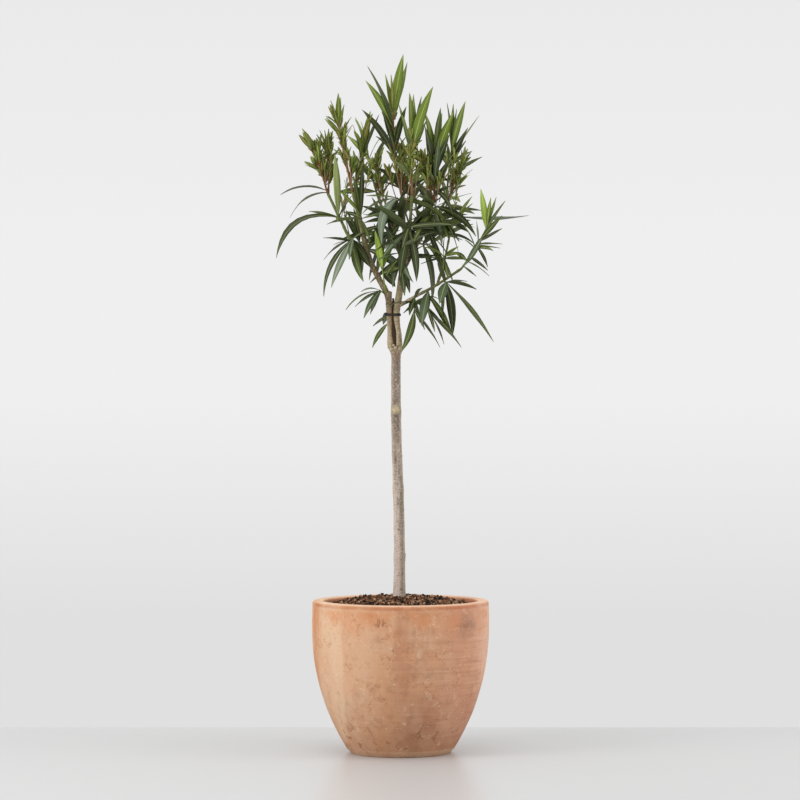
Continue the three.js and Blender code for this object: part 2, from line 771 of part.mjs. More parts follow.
function trunkSize(t) {
  const height = trunk.top[2] - trunk.foot[2];
  const up = t * height;
  let r = mix(trunk.footRadius, trunk.topRadius, t) + trunk.flare * Math.exp(-up / trunk.flareHeight);
  for (const share of trunk.nodes) {
    r += trunk.nodeSwell * Math.exp(-(((up - share * height) / trunk.nodeHeight) ** 2));
  }
  const swell = Math.exp(-(((height - up) / trunk.knuckleHeight) ** 2));
  return [mix(r, trunk.knuckle[0], swell), mix(r, trunk.knuckle[1], swell)];
}

function makeTie() {
  const oval = (grow, z) =>
    Array.from({ length: 16 }, (_, k) => {
      const a = (2 * Math.PI * k) / 16;
      const [x, y] = [Math.cos(a), Math.sin(a)];
      return new THREE.Vector3(
        tie.centre[0] + (tie.half[0] + grow) * Math.sign(x) * Math.abs(x) ** 0.7,
        tie.centre[1] + (tie.half[1] + grow) * Math.sign(y) * Math.abs(y) ** 0.7,
        z,
      );
    });
  const low = tie.height - tie.width / 2;
  const outer = skin([oval(tie.band, low), oval(tie.band, low + tie.width)]);
  return outer.subtract(skin([oval(0, low - 1), oval(0, low + tie.width + 1)]));
}

// One bough, and the slightly fatter form that cuts whatever meets it.
function makeBough(bough) {
  const place = (t) => alongPoints(bough.points, t);
  const size = (grow) => (t) => {
    const r = mix(bough.radius[0], bough.radius[1], t) + grow;
    return [r, r];
  };
  const rings = boughRings;
  const solid = tube(place, size(0), rings, boughSides);
  const start = place(0);
  const end = place(1);
  const ahead = place(1).sub(place(0.98)).normalize();
  const past = (t) => end.clone().addScaledVector(ahead, mix(-1, 2 * gap, t));
  const cap = tube(past, size(2 * gap), 2, boughSides);
  const below = (t) => start.clone().setZ(start.z - mix(1, 0, t));
  const heel = tube(below, size(2 * gap), 2, boughSides);
  return { solid, clearance: tube(place, size(gap), rings, boughSides).add(cap).add(heel) };
}

// ---- shoots ----

// A leaf's line: from its root to its tip, bowed to the upper side by arch times its length.
function leafLine(root, tip, arch) {
  const chord = tip.clone().sub(root);
  const rise = new THREE.Vector3(0, 0, 1).addScaledVector(chord, -chord.z / chord.lengthSq());
  const bow = root.clone().lerp(tip, 0.5).addScaledVector(rise.normalize(), arch * chord.length());
  return (t) =>
    root
      .clone()
      .multiplyScalar((1 - t) * (1 - t))
      .addScaledVector(bow, 2 * t * (1 - t))
      .addScaledVector(tip, t * t);
}

const leafOutline = (t) => Math.sin(Math.PI * t ** 0.85) ** 0.9;

const toBack = new THREE.Vector3(0, 1, 0);
const toGround = new THREE.Vector3(0, 0, -1);

// A leaf as a thin three-cornered blade: two edges and a keel, from a root inside the stem to a tip.
// A lead leaf turns its face to the front and the others theirs to the sky, before their twist.
// A small leaf has one cross-section between its ends, and a twigged one starts with its twig.
function makeLeaf(spec, grow = 0) {
  const line = leafLine(spec.root, spec.tip, spec.arch);
  const length = spec.root.distanceTo(spec.tip);
  const sections = spec.sections ?? (length >= leaf.longFrom ? [0.27, 0.52, 0.77] : [0.34, 0.68]);
  const across = spec.tip.clone().sub(spec.root).cross(spec.isLead ? toBack : toGround);
  if (across.length() < 1e-3) across.set(0, 1, 0);
  const corners = (t, half, thick) => {
    const heading = line(Math.min(t + 0.05, 1)).sub(line(Math.max(t - 0.05, 0))).normalize();
    const side = across.clone().addScaledVector(heading, -across.dot(heading)).normalize();
    side.applyAxisAngle(heading, radians(spec.twist));
    const face = new THREE.Vector3().crossVectors(heading, side);
    return [
      line(t).addScaledVector(side, half),
      line(t).addScaledVector(side, -half),
      line(t).addScaledVector(face, thick),
    ];
  };
  const thick = Math.max(length * leaf.thickShare, leaf.leastThick) + grow;
  const petiole = Math.min(leaf.petioleHalf, length * 0.04) + grow;
  const rings = sections.map((t) => corners(t, 0.5 * spec.width * leafOutline(t) + grow, thick));
  return skin([corners(0, petiole, petiole * 1.2), ...rings, [line(1)]]);
}

// A side twig that runs on into its own end leaf, in one piece.
function makeTwig(spec, grow = 0) {
  const { root, heading, length, leafLength, twist } = spec;
  const right = new THREE.Vector3(1, 0, 0).addScaledVector(heading, -heading.x).normalize();
  const side = right.applyAxisAngle(heading, radians(twist));
  const face = new THREE.Vector3().crossVectors(heading, side);
  const ring = (far, half, thick) => {
    const middle = root.clone().addScaledVector(heading, far);
    return [
      middle.clone().addScaledVector(side, half + grow).addScaledVector(face, -thick / 2),
      middle.clone().addScaledVector(side, -half - grow).addScaledVector(face, -thick / 2),
      middle.clone().addScaledVector(face, thick / 2 + grow),
    ];
  };
  const { half } = sideTwig;
  return skin([
    ring(0, half, half * 1.7),
    ring(length, half * 0.6, half),
    ring(length + leafLength * 0.45, 0.5 * budLeaf.widthShare * leafLength, leaf.leastThick),
    [root.clone().addScaledVector(heading, length + leafLength)],
  ]);
}

const widthOf = (length, share) => Math.min(length * share, leaf.mostWidth);

function leadLeaves(shoot) {
  return (shoot.lead ?? []).map(([t, tip, arch, twist]) => {
    const root = alongStem(shoot, t);
    const length = root.distanceTo(vector(tip));
    const width = widthOf(length, leaf.widthShare);
    return { root, tip: vector(tip), axis: stemHeading(shoot, t), arch, twist, width, isLead: true };
  });
}

// The seeded leaves and side twigs of a shoot, from the lowest up.
function seededGrowth(shoot, index) {
  const grown = [];
  for (let w = 0; w < (shoot.whorls ?? 0); w++) {
    const share = shoot.whorls > 1 ? w / (shoot.whorls - 1) : 0;
    const t = mix(...shoot.reach, share);
    for (let k = 0; k < 3; k++) {
      const by = (n) => draw(index, w, k, n);
      const turn = shoot.turn + 120 * k + 60 * w + mix(-22, 22, by(1));
      const spread = mix(...shoot.spread, share) * mix(0.8, 1.2, by(2));
      const heading = branchOff(stemHeading(shoot, t), turn, spread);
      heading.z -= mix(...shoot.sag, share) * mix(0.6, 1.4, by(4));
      const length = mix(...shoot.length, share) * mix(0.8, 1.12, by(3));
      const root = alongStem(shoot, t);
      grown.push({
        root,
        tip: root.clone().addScaledVector(heading.normalize(), length),
        axis: stemHeading(shoot, t),
        arch: leaf.arch * mix(0.3, 1.7, by(7)),
        twist: mix(-leaf.twist, leaf.twist, by(5)),
        width: widthOf(length, leaf.widthShare * mix(0.9, 1.15, by(6))),
      });
    }
  }
  for (let n = 0; n < (shoot.twigs ?? 0); n++) {
    const t = mix(0.2, 0.94, (n + 0.5) / shoot.twigs);
    const by = (m) => draw(index, 40 + n, m);
    const around = shoot.turn + 137.5 * n + mix(-15, 15, by(1));
    const heading = branchOff(stemHeading(shoot, t), around, mix(...sideTwig.spread, by(2)));
    heading.z += sideTwig.lift;
    heading.normalize();
    const length = mix(...sideTwig.length, by(3));
    const root = alongStem(shoot, t);
    const leafLength = mix(...sideTwig.tipLeaf, by(4));
    grown.push({ isTwig: true, root, heading, length, leafLength, twist: 360 * by(5) });
    for (let k = 0; k < sideTwig.sideLeaves; k++) {
      const at = (m) => draw(index, 40 + n, k, 10 + m);
      const start = root.clone().addScaledVector(heading, length * (0.95 - 0.3 * k));
      const away = branchOff(heading, 180 * k + 180 * at(1), mix(...budLeaf.spread, at(2)));
      const reach = mix(...budLeaf.length, at(3));
      grown.push({
        root: start,
        tip: start.clone().addScaledVector(away, reach),
        axis: heading,
        arch: 0.04,
        twist: mix(-leaf.twist, leaf.twist, at(4)),
        width: widthOf(reach, budLeaf.widthShare),
        sections: [0.5],
        ofTwig: true,
      });
    }
  }
  return grown;
}

const stemSize = (shoot) => (t) => {
  const r = shoot.radius * mix(1, stemTaper, t);
  return [r, r];
};

function makeStem(shoot, grow = 0) {
  const size = (t) => stemSize(shoot)(t).map((r) => r + grow);
  return tube((t) => alongStem(shoot, t), size, stemRings, stemSides);
}

// Tries a leaf at its own place, then turned a little to either side about its stem, and keeps
// the first that is clear of everything that stands already.
function placeLeaf(spec, others) {
  for (let n = 0; n < leaf.tries; n++) {
    const aside = (n % 2 ? 1 : -1) * Math.ceil(n / 2) * leaf.tryTurn;
    const reach = spec.tip.clone().sub(spec.root).applyAxisAngle(spec.axis, radians(aside));
    const turned = { ...spec, tip: spec.root.clone().add(reach) };
    const guard = makeLeaf(turned, leaf.guard);
    if (!others.some((other) => touches(guard, other))) return makeLeaf(turned);
  }
  return null;
}

// ---- the plant, piece by piece ----

const made = [];
const keep = (name, solid, colour, roughness) => made.push({ name, solid, colour, roughness });

keep("pot", makePot(), "#cf9d7b", 0.85);
keep("soil", makeSoil(), "#4a3526", 0.95);
keep("trunk", tube(trunkPlace, trunkSize, trunk.rings, trunk.sides), "#a39483", 0.85);

const tieSolid = makeTie();
const trunkRound = tube(trunkPlace, (t) => trunkSize(t).map((r) => r + gap), trunk.rings, trunk.sides);
const trunkLid = tube(
  (t) => vector(trunk.top).setZ(trunk.top[2] + mix(-1, gap, t)),
  () => trunk.knuckle.map((r) => r + 1.5),
  2,
  trunk.sides,
);
const limbs = [{ name: "trunk", clearance: trunkRound.add(trunkLid) }];
for (const bough of boughs) {
  const { solid, clearance } = makeBough(bough);
  let cut = solid;
  for (const limb of limbs) {
    if (touches(cut, limb.clearance)) cut = cut.subtract(limb.clearance);
  }
  keep(bough.name, tidied(cut, boughSlivers), "#8b7c62", 0.8);
  limbs.push({ name: bough.name, clearance, solid: made.at(-1).solid });
}
keep("fork_tie", tieSolid, "#2b2726", 0.6);

const limbSolids = [...limbs.map((limb) => limb.clearance), tieSolid, made[1].solid];
const stems = [];
for (const shoot of shoots) {
  let stem = makeStem(shoot);
  for (const other of [...limbs.map((limb) => limb.clearance), ...stems.map((s) => s.clearance)]) {
    if (touches(stem, other)) stem = stem.subtract(other);
  }
  stems.push({ solid: largest(stem), clearance: makeStem(shoot, 2 * gap), leaves: [] });
}

const standing = (index) => [
  ...limbSolids,
  ...stems.flatMap((stem, i) => (i === index ? [] : [stem.clearance, ...stem.leaves])),
];
shoots.forEach((shoot, index) => {
  const others = standing(index);
  for (const spec of leadLeaves(shoot)) {
    const blade = placeLeaf(spec, others);
    if (blade) stems[index].leaves.push(blade);
  }
});
shoots.forEach((shoot, index) => {
  const others = standing(index);
  let hasTwig = true;
  for (const spec of seededGrowth(shoot, index)) {
    if (spec.isTwig) {
      const guard = makeTwig(spec, leaf.guard);
      hasTwig = !others.some((other) => touches(guard, other));
      if (hasTwig) stems[index].leaves.push(makeTwig(spec));
    } else if (!spec.ofTwig || hasTwig) {
      const blade = placeLeaf(spec, others);
      if (blade) stems[index].leaves.push(blade);
    }
  }
});

shoots.forEach((shoot, index) => {
  const { solid, leaves } = stems[index];
  const joined = leaves.reduce((sum, blade) => sum.add(blade), solid);
  keep(shoot.name, tidied(joined, leaf.slivers), "#4f6b35", 0.6);
});

function meshOf({ name, solid, colour, roughness }) {
  const data = solid.getMesh();
  const geometry = new THREE.BufferGeometry();
  geometry.setAttribute("position", new THREE.BufferAttribute(new Float32Array(data.vertProperties), 3));
  geometry.setIndex(new THREE.BufferAttribute(new Uint32Array(data.triVerts), 1));
  geometry.computeVertexNormals();
  const material = new THREE.MeshStandardMaterial({ color: colour, roughness, metalness: 0 });
  const mesh = new THREE.Mesh(geometry, material);
  mesh.name = name;
  return mesh;
}

const plant = new THREE.Group();
made.forEach((piece) => plant.add(meshOf(piece)));

export default plant;
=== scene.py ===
# The looks of a potted oleander: terracotta, soil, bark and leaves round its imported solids.
# The frame is in metres. The plant's own sizes are in millimetres, as on its drawing, and mm
# turns them into metres.
import math

import bpy
import numpy as np
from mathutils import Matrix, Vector, noise


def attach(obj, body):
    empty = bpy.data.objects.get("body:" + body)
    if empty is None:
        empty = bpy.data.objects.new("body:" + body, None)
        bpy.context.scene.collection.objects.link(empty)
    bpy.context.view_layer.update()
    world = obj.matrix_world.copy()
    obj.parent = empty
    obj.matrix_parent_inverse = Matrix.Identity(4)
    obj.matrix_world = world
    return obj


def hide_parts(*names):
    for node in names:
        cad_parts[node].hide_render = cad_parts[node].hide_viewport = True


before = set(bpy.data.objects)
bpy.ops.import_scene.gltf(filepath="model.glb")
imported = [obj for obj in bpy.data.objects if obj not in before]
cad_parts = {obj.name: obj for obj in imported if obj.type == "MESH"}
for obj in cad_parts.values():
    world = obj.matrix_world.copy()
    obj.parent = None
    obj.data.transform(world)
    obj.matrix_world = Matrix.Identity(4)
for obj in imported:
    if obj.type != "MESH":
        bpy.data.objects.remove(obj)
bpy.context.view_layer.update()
mm = 0.001

# Numbers that stir the bits of a draw.
stir = {"start": 2166136261, "step": 16777619, "last": 2246822507, "whole": 2**32}


# A repeatable number from 0 to 1 for each set of whole-number keys.
def draw(*keys):
    h = stir["start"]
    for key in keys:
        h = ((h ^ key) * stir["step"]) % stir["whole"]
        h ^= h >> 15
    h = ((h ^ (h >> 13)) * stir["last"]) % stir["whole"]
    h ^= h >> 16
    return h / stir["whole"]


# The key at which the seeded draws of each kind start.
seeds = {
    "crumbs": 7,
    "fibres": 8,
    "sideTwigs": 40,
    "bracts": 40,
    "shape": 90,
    "fineTwigs": 120,
    "lead": 300,
    "stalks": 500,
}


# One of the options, by a share from 0 to 1.
def pick(options, share):
    return options[int(share * (len(options) - 0.001))]


def mix(a, b, t):
    return a + (b - a) * t


def unit(v):
    return v / np.linalg.norm(v)


def point(*v):
    return np.array(v, float)


def rotated(v, axis, degrees):
    a = math.radians(degrees)
    return v * math.cos(a) + np.cross(axis, v) * math.sin(a) + axis * (axis @ v) * (1 - math.cos(a))


# A uniform Catmull-Rom line through the points.
def alongPoints(points, t):
    last = len(points) - 1
    i = min(int(t * last), last - 1)
    u = t * last - i
    a, b, c, d = (point(*points[max(0, min(last, k))]) for k in (i - 1, i, i + 1, i + 2))
    bend = (2 * a - 5 * b + 4 * c - d) * u * u + (3 * b - a - 3 * c + d) * u**3
    return 0.5 * (2 * b + (c - a) * u + bend)


# A curve from foot to tip, drawn to the knee.
def alongBow(foot, knee, tip, t):
    return foot * (1 - t) ** 2 + knee * 2 * t * (1 - t) + tip * t * t


# A direction that leaves the heading by spread degrees, towards turn degrees round it.
def branchOff(heading, turn, spread):
    right = point(1, 0, 0) - heading * heading[0]
    if np.linalg.norm(right) < 0.2:
        right = point(0, 1, 0) - heading * heading[1]
    right = unit(right)
    back = np.cross(heading, right)
    turn, spread = math.radians(turn), math.radians(spread)
    around = right * math.cos(turn) + back * math.sin(turn)
    return heading * math.cos(spread) + around * math.sin(spread)


# An sRGB hex value as Blender's linear colour.
def hexColour(value):
    parts = [int(value[i : i + 2], 16) / 255 for i in (1, 3, 5)]
    return [c / 12.92 if c <= 0.04045 else ((c + 0.055) / 1.055) ** 2.4 for c in parts] + [1.0]


# Adds a node: settings are its own properties or its sockets' values, links are its inputs.
def addNode(tree, kind, settings=None, links=None):
    node = tree.nodes.new(kind)
    for key, value in (settings or {}).items():
        if isinstance(key, str) and hasattr(node, key):
            setattr(node, key, value)
        else:
            node.inputs[key].default_value = value
    for key, source in (links or {}).items():
        tree.links.new(source, node.inputs[key])
    return node


# A new material with its tree and its shader.
def newMaterial(name, colour, roughness, gloss=0.5):
    material = bpy.data.materials.new(name)
    material.use_nodes = True
    tree = material.node_tree
    shader = tree.nodes["Principled BSDF"]
    shader.inputs["Base Color"].default_value = hexColour(colour)
    shader.inputs["Roughness"].default_value = roughness
    shader.inputs["Specular IOR Level"].default_value = gloss
    return material, tree, shader


# Lays layers of colour over a base and links the last to the shader. A layer covers where its
# noise lies between two values, on a thin winding line where another noise has one value, near
# a point, and inside its windows: each window is a direction and the two places along it, in
# metres, where the layer goes from none to full.
def paint(tree, shader, base, layers):
    place = addNode(tree, "ShaderNodeTexCoord").outputs["Object"]
    colour = None
    for layer in layers:
        parts = []
        if "size" in layer:
            spread = addNode(
                tree, "ShaderNodeMapping", {"Scale": layer.get("stretch", (1, 1, 1))}, {"Vector": place}
            ).outputs[0]
            settings = {"Scale": 1 / layer["size"], "Detail": layer.get("detail", 3.0), "Roughness": 0.58}
            pattern = addNode(tree, "ShaderNodeTexNoise", settings, {"Vector": spread})
            parts.append((pattern.outputs[0], *layer["between"]))
        if "line" in layer:
            size, centre, half = layer["line"]
            settings = {"Scale": 1 / size, "Detail": 5.0, "Roughness": 0.6}
            crack = addNode(tree, "ShaderNodeTexNoise", settings, {"Vector": place}).outputs[0]
            parts.append((crack, centre - half, centre))
            parts.append((crack, centre + half, centre))
        if "near" in layer:
            settings = {"operation": "DISTANCE", 1: layer["near"]}
            far = addNode(tree, "ShaderNodeVectorMath", settings, {0: place})
            parts.append((far.outputs["Value"], layer["reach"], 0.35 * layer["reach"]))
        for direction, low, high in layer.get("windows", []):
            settings = {"operation": "DOT_PRODUCT", 1: direction}
            along = addNode(tree, "ShaderNodeVectorMath", settings, {0: place})
            parts.append((along.outputs["Value"], low, high))
        share = None
        for value, low, high in parts:
            settings = {"clamp": True, 1: low, 2: high, 3: 0.0}
            if share is None:
                share = addNode(tree, "ShaderNodeMapRange", {**settings, 4: layer["share"]}, {0: value})
            else:
                share = addNode(tree, "ShaderNodeMapRange", settings, {0: value, 4: share.outputs[0]})
        settings = {"data_type": "RGBA", 7: hexColour(layer["colour"])}
        links = {0: share.outputs[0]}
        if colour is None:
            settings[6] = hexColour(base)
        else:
            links[6] = colour
        colour = addNode(tree, "ShaderNodeMix", settings, links).outputs[2]
    tree.links.new(colour, shader.inputs["Base Color"])


# Roughens the surface with grain of the given size, in metres, drawn out along an axis.
def grain(tree, shader, size, stretch, distance, detail=3.0):
    place = addNode(tree, "ShaderNodeTexCoord").outputs["Object"]
    spread = addNode(tree, "ShaderNodeMapping", {"Scale": stretch}, {"Vector": place}).outputs[0]
    settings = {"Scale": 1 / size, "Detail": detail, "Roughness": 0.6}
    pattern = addNode(tree, "ShaderNodeTexNoise", settings, {"Vector": spread}).outputs[0]
    bump = addNode(tree, "ShaderNodeBump", {"Distance": distance}, {"Height": pattern})
    tree.links.new(bump.outputs[0], shader.inputs["Normal"])


# Wood or dry skin of one colour, with a fine grain along it.
def plainWood(name, colour, roughness=0.6):
    material, tree, shader = newMaterial(name, colour, roughness)
    grain(tree, shader, 0.002, (1, 1, 0.3), 0.0003)
    return material


# The corners, faces and finishes of one piece, gathered in millimetres.
class Skin:
    def __init__(self):
        self.corners = []
        self.faces = []
        self.finish = []
        self.count = 0

    def add(self, corners, faces, finish):
        start = self.count
        self.corners.append(np.asarray(corners, float))
        self.faces.extend([tuple(k + start for k in face) for face in faces])
        self.finish.extend(finish if isinstance(finish, list) else [finish] * len(faces))
        self.count += len(corners)

    # Makes the object, lets it ride on the plant and stand for its nodes.
    def piece(self, name, materials, slot, nodes, smooth=True):
        mesh = bpy.data.meshes.new(name)
        mesh.from_pydata((np.concatenate(self.corners) * mm).tolist(), [], self.faces)
        for material in materials:
            mesh.materials.append(material)
        mesh.polygons.foreach_set("material_index", self.finish)
        mesh.polygons.foreach_set("use_smooth", [smooth] * len(self.faces))
        mesh.update()
        made = bpy.data.objects.new(name, mesh)
        bpy.context.scene.collection.objects.link(made)
        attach(made, "root")
        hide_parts(*nodes)
        triangles = sum(len(face) - 2 for face in self.faces)
        print(f"{name}: {triangles} triangles")
        return made


# Rings of points joined into side walls, with a face at each end.
def ringFaces(rings, sides):
    faces = []
    for i in range(rings - 1):
        for k in range(sides):
            after = (k + 1) % sides
            low, high = i * sides, (i + 1) * sides
            faces.append((low + k, low + after, high + after, high + k))
    faces.append(tuple(range(sides))[::-1])
    faces.append(tuple((rings - 1) * sides + k for k in range(sides)))
    return faces


# The size of a round limb that narrows from its foot to a share of it at its tip.
def tapered(radius, end):
    return lambda t: (radius * mix(1, end, t),) * 2


# A tube: place(t) gives the middle, size(t) the two radii and relief(angle, t) what stands out.
def addTube(skin, place, size, rings, sides, finish=0, relief=None):
    corners = []
    angles = [2 * math.pi * (k + 0.5) / sides for k in range(sides)]
    for i in range(rings):
        t = i / (rings - 1)
        heading = unit(place(min(t + 0.01, 1)) - place(max(t - 0.01, 0)))
        right = unit(point(1, 0, 0) - heading * heading[0])
        back = np.cross(heading, right)
        wide, deep = size(t)
        middle = place(t)
        for a in angles:
            out = relief(a, t) if relief else 0
            corners.append(
                middle + right * (wide + out) * math.cos(a) + back * (deep + out) * math.sin(a)
            )
    skin.add(corners, ringFaces(rings, sides), finish)


# The pot: a thrown bowl with a thick rounded rim.
pot = {
    "height": 258,
    "baseRadius": 87,
    "bellyRadius": 150.5,
    "bellyHeight": 222,
    "bellyCurve": 2.25,
    "rimRadius": 149.5,
    "wall": 20,
    "floor": 18,
    "rimRound": 4.6,
    "footRound": 4,
    "baseRings": (12, 30, 50, 68),  # radii of the rings under it
    "floorRings": (60, 30, 12),
    "facets": 168,
    "ringStep": 2.6,  # height between rings
    "plainFoot": 8,  # no finger lines below this height
    "plainRim": 9,  # and none this close to the rim
    "throwPitch": 7,  # height from one finger line to the next
    "throwDepth": 0.22,
    "wobble": 0.7,  # how far it is out of round
    "dents": 0.35,
    "mostOut": 0.8,  # nothing stands further out than this
}


def potRadius(z):
    if z > pot["bellyHeight"]:
        up = (z - pot["bellyHeight"]) / (pot["height"] - pot["bellyHeight"])
        return mix(pot["bellyRadius"], pot["rimRadius"], up)
    below = (pot["bellyHeight"] - z) / pot["bellyHeight"]
    return pot["bellyRadius"] - (pot["bellyRadius"] - pot["baseRadius"]) * below ** pot["bellyCurve"]


# The quarter circle that rounds an edge, as [radius, height] pairs.
def roundEdge(centre, radius, start, end, steps):
    angles = [math.radians(mix(start, end, i / steps)) for i in range(steps + 1)]
    return [(centre[0] + radius * math.cos(a), centre[1] + radius * math.sin(a)) for a in angles]


def potProfile():
    lip, foot, height = pot["rimRound"], pot["footRound"], pot["height"]
    steps = round((height - lip - foot) / pot["ringStep"])
    heights = [mix(foot, height - lip, i / steps) for i in range(1, steps)]
    outside = [(potRadius(z), z) for z in heights]
    inside = [(potRadius(z) - pot["wall"], z) for z in heights[::-1] if z > pot["floor"]]
    outerLip = roundEdge((pot["rimRadius"] - lip, height - lip), lip, 0, 90, 6)
    innerLip = roundEdge((pot["rimRadius"] - pot["wall"] + lip, height - lip), lip, 90, 180, 6)
    base = [(r, 0) for r in pot["baseRings"]]
    heel = roundEdge((pot["baseRadius"] - foot, foot), foot, -90, -15, 4)
    floor = [(r, pot["floor"]) for r in pot["floorRings"]]
    return base + heel + outside + outerLip + innerLip + inside + floor


def makePot(materials):
    skin = Skin()
    corners = []
    profile = potProfile()
    sides = pot["facets"]
    for r, z in profile:
        isOutside = r > potRadius(z) - 0.5 * pot["wall"]
        isThrown = isOutside and pot["plainFoot"] < z < pot["height"] - pot["plainRim"]
        for k in range(sides):
            a = 2 * math.pi * k / sides
            x, y = math.cos(a), math.sin(a)
            out = pot["wobble"] * noise.noise((x * 0.8, y * 0.8, z * 0.006))
            if isThrown:
                line = math.sin(2 * math.pi * z / pot["throwPitch"] + 2 * noise.noise((x, y, z * 0.02)))
                fade = max(0, noise.noise((x * 1.1 + 4, y * 1.1, z * 0.013)) + 0.35)
                out += pot["throwDepth"] * line * fade
                out += pot["dents"] * noise.noise((x * 5, y * 5, z * 0.035))
            out = min(out, pot["mostOut"])
            corners.append(((r + out) * x, (r + out) * y, z))
    skin.add(corners, ringFaces(len(profile), sides), 0)
    return skin.piece("potBody", materials, "terracotta", ["pot"])


# Fired earthenware, thrown on a wheel and left unglazed: chalky and matte, with soft salmon
# and sand blotches, orange where the fire reached it, scuffs and flecks, and painted sheen, highlights and
# shade for the softboxes' light.
clay = {"base": "#ce9b75", "roughness": 0.8, "gloss": 0.25, "grain": 0.0016, "grainDepth": 0.0003}
left, right, front, up, down = (-1, 0, 0), (1, 0, 0), (0, -1, 0), (0, 0, 1), (0, 0, -1)
clayLayers = [
    {"colour": "#d1a98a", "share": 1, "size": 0.09, "stretch": (1, 1, 0.7), "between": (0.38, 0.66)},
    # streaks run down the wall where water has drawn the lime out
    {"colour": "#ba8261", "share": 0.8, "size": 0.045, "stretch": (1, 1, 0.16), "between": (0.45, 0.7)},
    {"colour": "#d09a74", "share": 0.6, "size": 0.03, "detail": 4.0, "between": (0.5, 0.62)},
    {"colour": "#a87655", "share": 0.5, "size": 0.016, "detail": 5.0, "between": (0.5, 0.7)},
    # rosy on the right, where the finger lines show
    {"colour": "#cb9479", "share": 0.7, "size": 0.1, "between": (0.2, 0.5), "windows": [(right, 0.04, 0.1)]},
    # painted highlight: a pale band down the right edge, where the right softbox lights it
    {"colour": "#e3bba2", "share": 0.75, "size": 0.1, "between": (0.2, 0.4),
     "windows": [(right, 0.118, 0.145)]},
    {"colour": "#a26c4f", "share": 0.32, "size": 0.0085, "stretch": (0.09, 0.09, 1.5),
     "between": (0.52, 0.66), "windows": [(right, -0.06, 0.09), (down, -0.24, -0.2)]},
    {"colour": "#dcae92", "share": 0.3, "size": 0.0085, "stretch": (0.09, 0.09, 1.5),
     "between": (0.46, 0.36), "windows": [(right, -0.06, 0.09), (down, -0.24, -0.2)]},
    # painted shade: darker towards the foot, where the wall leans out and faces down, away from the lights
    {"colour": "#9a6c50", "share": 0.45, "size": 0.2, "between": (0.2, 0.5),
     "windows": [(down, -0.13, -0.02)]},
    # painted sheen: the left side is painted paler where the left softbox's light grazes it, with a
    # sharp-edged pale painted highlight band on the front left and an orange strip along the left edge
    {"colour": "#dfbfa1", "share": 0.4, "size": 0.12, "between": (0.2, 0.45),
     "windows": [(left, 0.03, 0.13)]},
    {"colour": "#e2c5a6", "share": 0.4, "size": 0.05, "stretch": (1, 1, 0.4), "between": (0.25, 0.55),
     "windows": [((-1, 0, -0.044), 0.0865, 0.0905), ((1, 0, 0.16), -0.104, -0.094), (front, 0.02, 0.05)]},
    {"colour": "#bd7746", "share": 0.6, "size": 0.05, "stretch": (1, 1, 0.3), "between": (0.3, 0.55),
     "windows": [(left, 0.13, 0.138), (right, -0.1495, -0.146), (front, 0, 0.02)]},
    # orange where the fire reached it under the rim
    {"colour": "#cd8657", "share": 0.6, "size": 0.04, "stretch": (1, 1, 0.8), "between": (0.4, 0.62),
     "windows": [(up, 0.2, 0.23), (down, -0.251, -0.244)]},
    # smoke stains
    {"colour": "#86695a", "share": 0.55, "size": 0.016, "between": (0.3, 0.6),
     "near": (0.11, -0.1, 0.224), "reach": 0.03},
    {"colour": "#8a5c40", "share": 0.7, "size": 0.007, "stretch": (1.6, 1.6, 0.8), "detail": 4.0,
     "between": (0.5, 0.6), "near": (-0.034, -0.145, 0.228), "reach": 0.016},
    # dark mottles low on the wall
    {"colour": "#8a5a40", "share": 0.6, "size": 0.02, "detail": 6.0, "between": (0.57, 0.63),
     "windows": [(down, -0.085, -0.03)]},
    {"colour": "#95654a", "share": 0.55, "size": 0.03, "between": (0.3, 0.6),
     "near": (0.03, -0.12, 0.035), "reach": 0.05},
    # hairline crazing, dark and pale: a line is its noise's size, value and half width
    {"colour": "#98623e", "share": 0.75, "size": 0.03, "between": (0.48, 0.56),
     "line": (0.026, 0.5, 0.011)},
    {"colour": "#efd6bb", "share": 0.7, "size": 0.026, "between": (0.52, 0.6),
     "line": (0.02, 0.56, 0.009)},
    # pale scratches of lime and dark pits
    {"colour": "#e8cfb4", "share": 0.6, "size": 0.0085, "stretch": (0.6, 0.6, 1.5), "detail": 5.0,
     "between": (0.675, 0.71)},
    {"colour": "#7a563f", "share": 0.6, "size": 0.007, "stretch": (1.4, 1.4, 0.7), "detail": 5.0,
     "between": (0.32, 0.28)},
    # a burnt line runs round under the lip; the rim's top is painted paler as a painted highlight, and the
    # foot is paler
    {"colour": "#b0633a", "share": 0.6, "size": 0.05, "between": (0.3, 0.55),
     "windows": [(up, 0.2495, 0.2515), (down, -0.2565, -0.2555)]},
    # painted highlight along the rim's top
    {"colour": "#e2bfa2", "share": 0.8, "size": 0.03, "between": (0.2, 0.5),
     "windows": [(up, 0.2562, 0.2578)]},
    {"colour": "#cda98a", "share": 0.6, "size": 0.03, "between": (0.3, 0.6),
     "windows": [(down, -0.012, -0.009)]},
]


def makeTerracotta():
    material, tree, shader = newMaterial(
        "terracottaThrownUnglazed", clay["base"], clay["roughness"], clay["gloss"]
    )
    paint(tree, shader, clay["base"], clayLayers)
    grain(tree, shader, clay["grain"], (1, 1, 1), clay["grainDepth"], 4.0)
    return material


makePot([makeTerracotta()])
print("pot made")

# The soil: a low mound with loose crumbs and fibres on it.
soil = {
    "edgeHeight": 246,
    "crownHeight": 263.5,
    "crownRadius": 24,
    "gap": 0.5,  # between the bed and the wall
    "rings": 30,
    "sides": 96,
    "skirt": 9,  # how far the bed goes down by the wall
    "sink": 1.5,  # how far the bed lies under the tops of the crumbs
    "lumps": 3.2,  # height of the uneven surface
    "lumpSize": 20,
    "crumbs": 5200,
    "crumbSize": (1.1, 5.6),
    "crumbFlat": 0.62,
    "crumbEdge": 0.985,  # how near the wall they lie, as a share of the radius
    "fibres": 420,
    "fibreLength": (7, 22),
    "fibreHalf": (0.3, 0.7),
    "fibreEdge": 0.9,
    "fibreLift": 0.8,
}

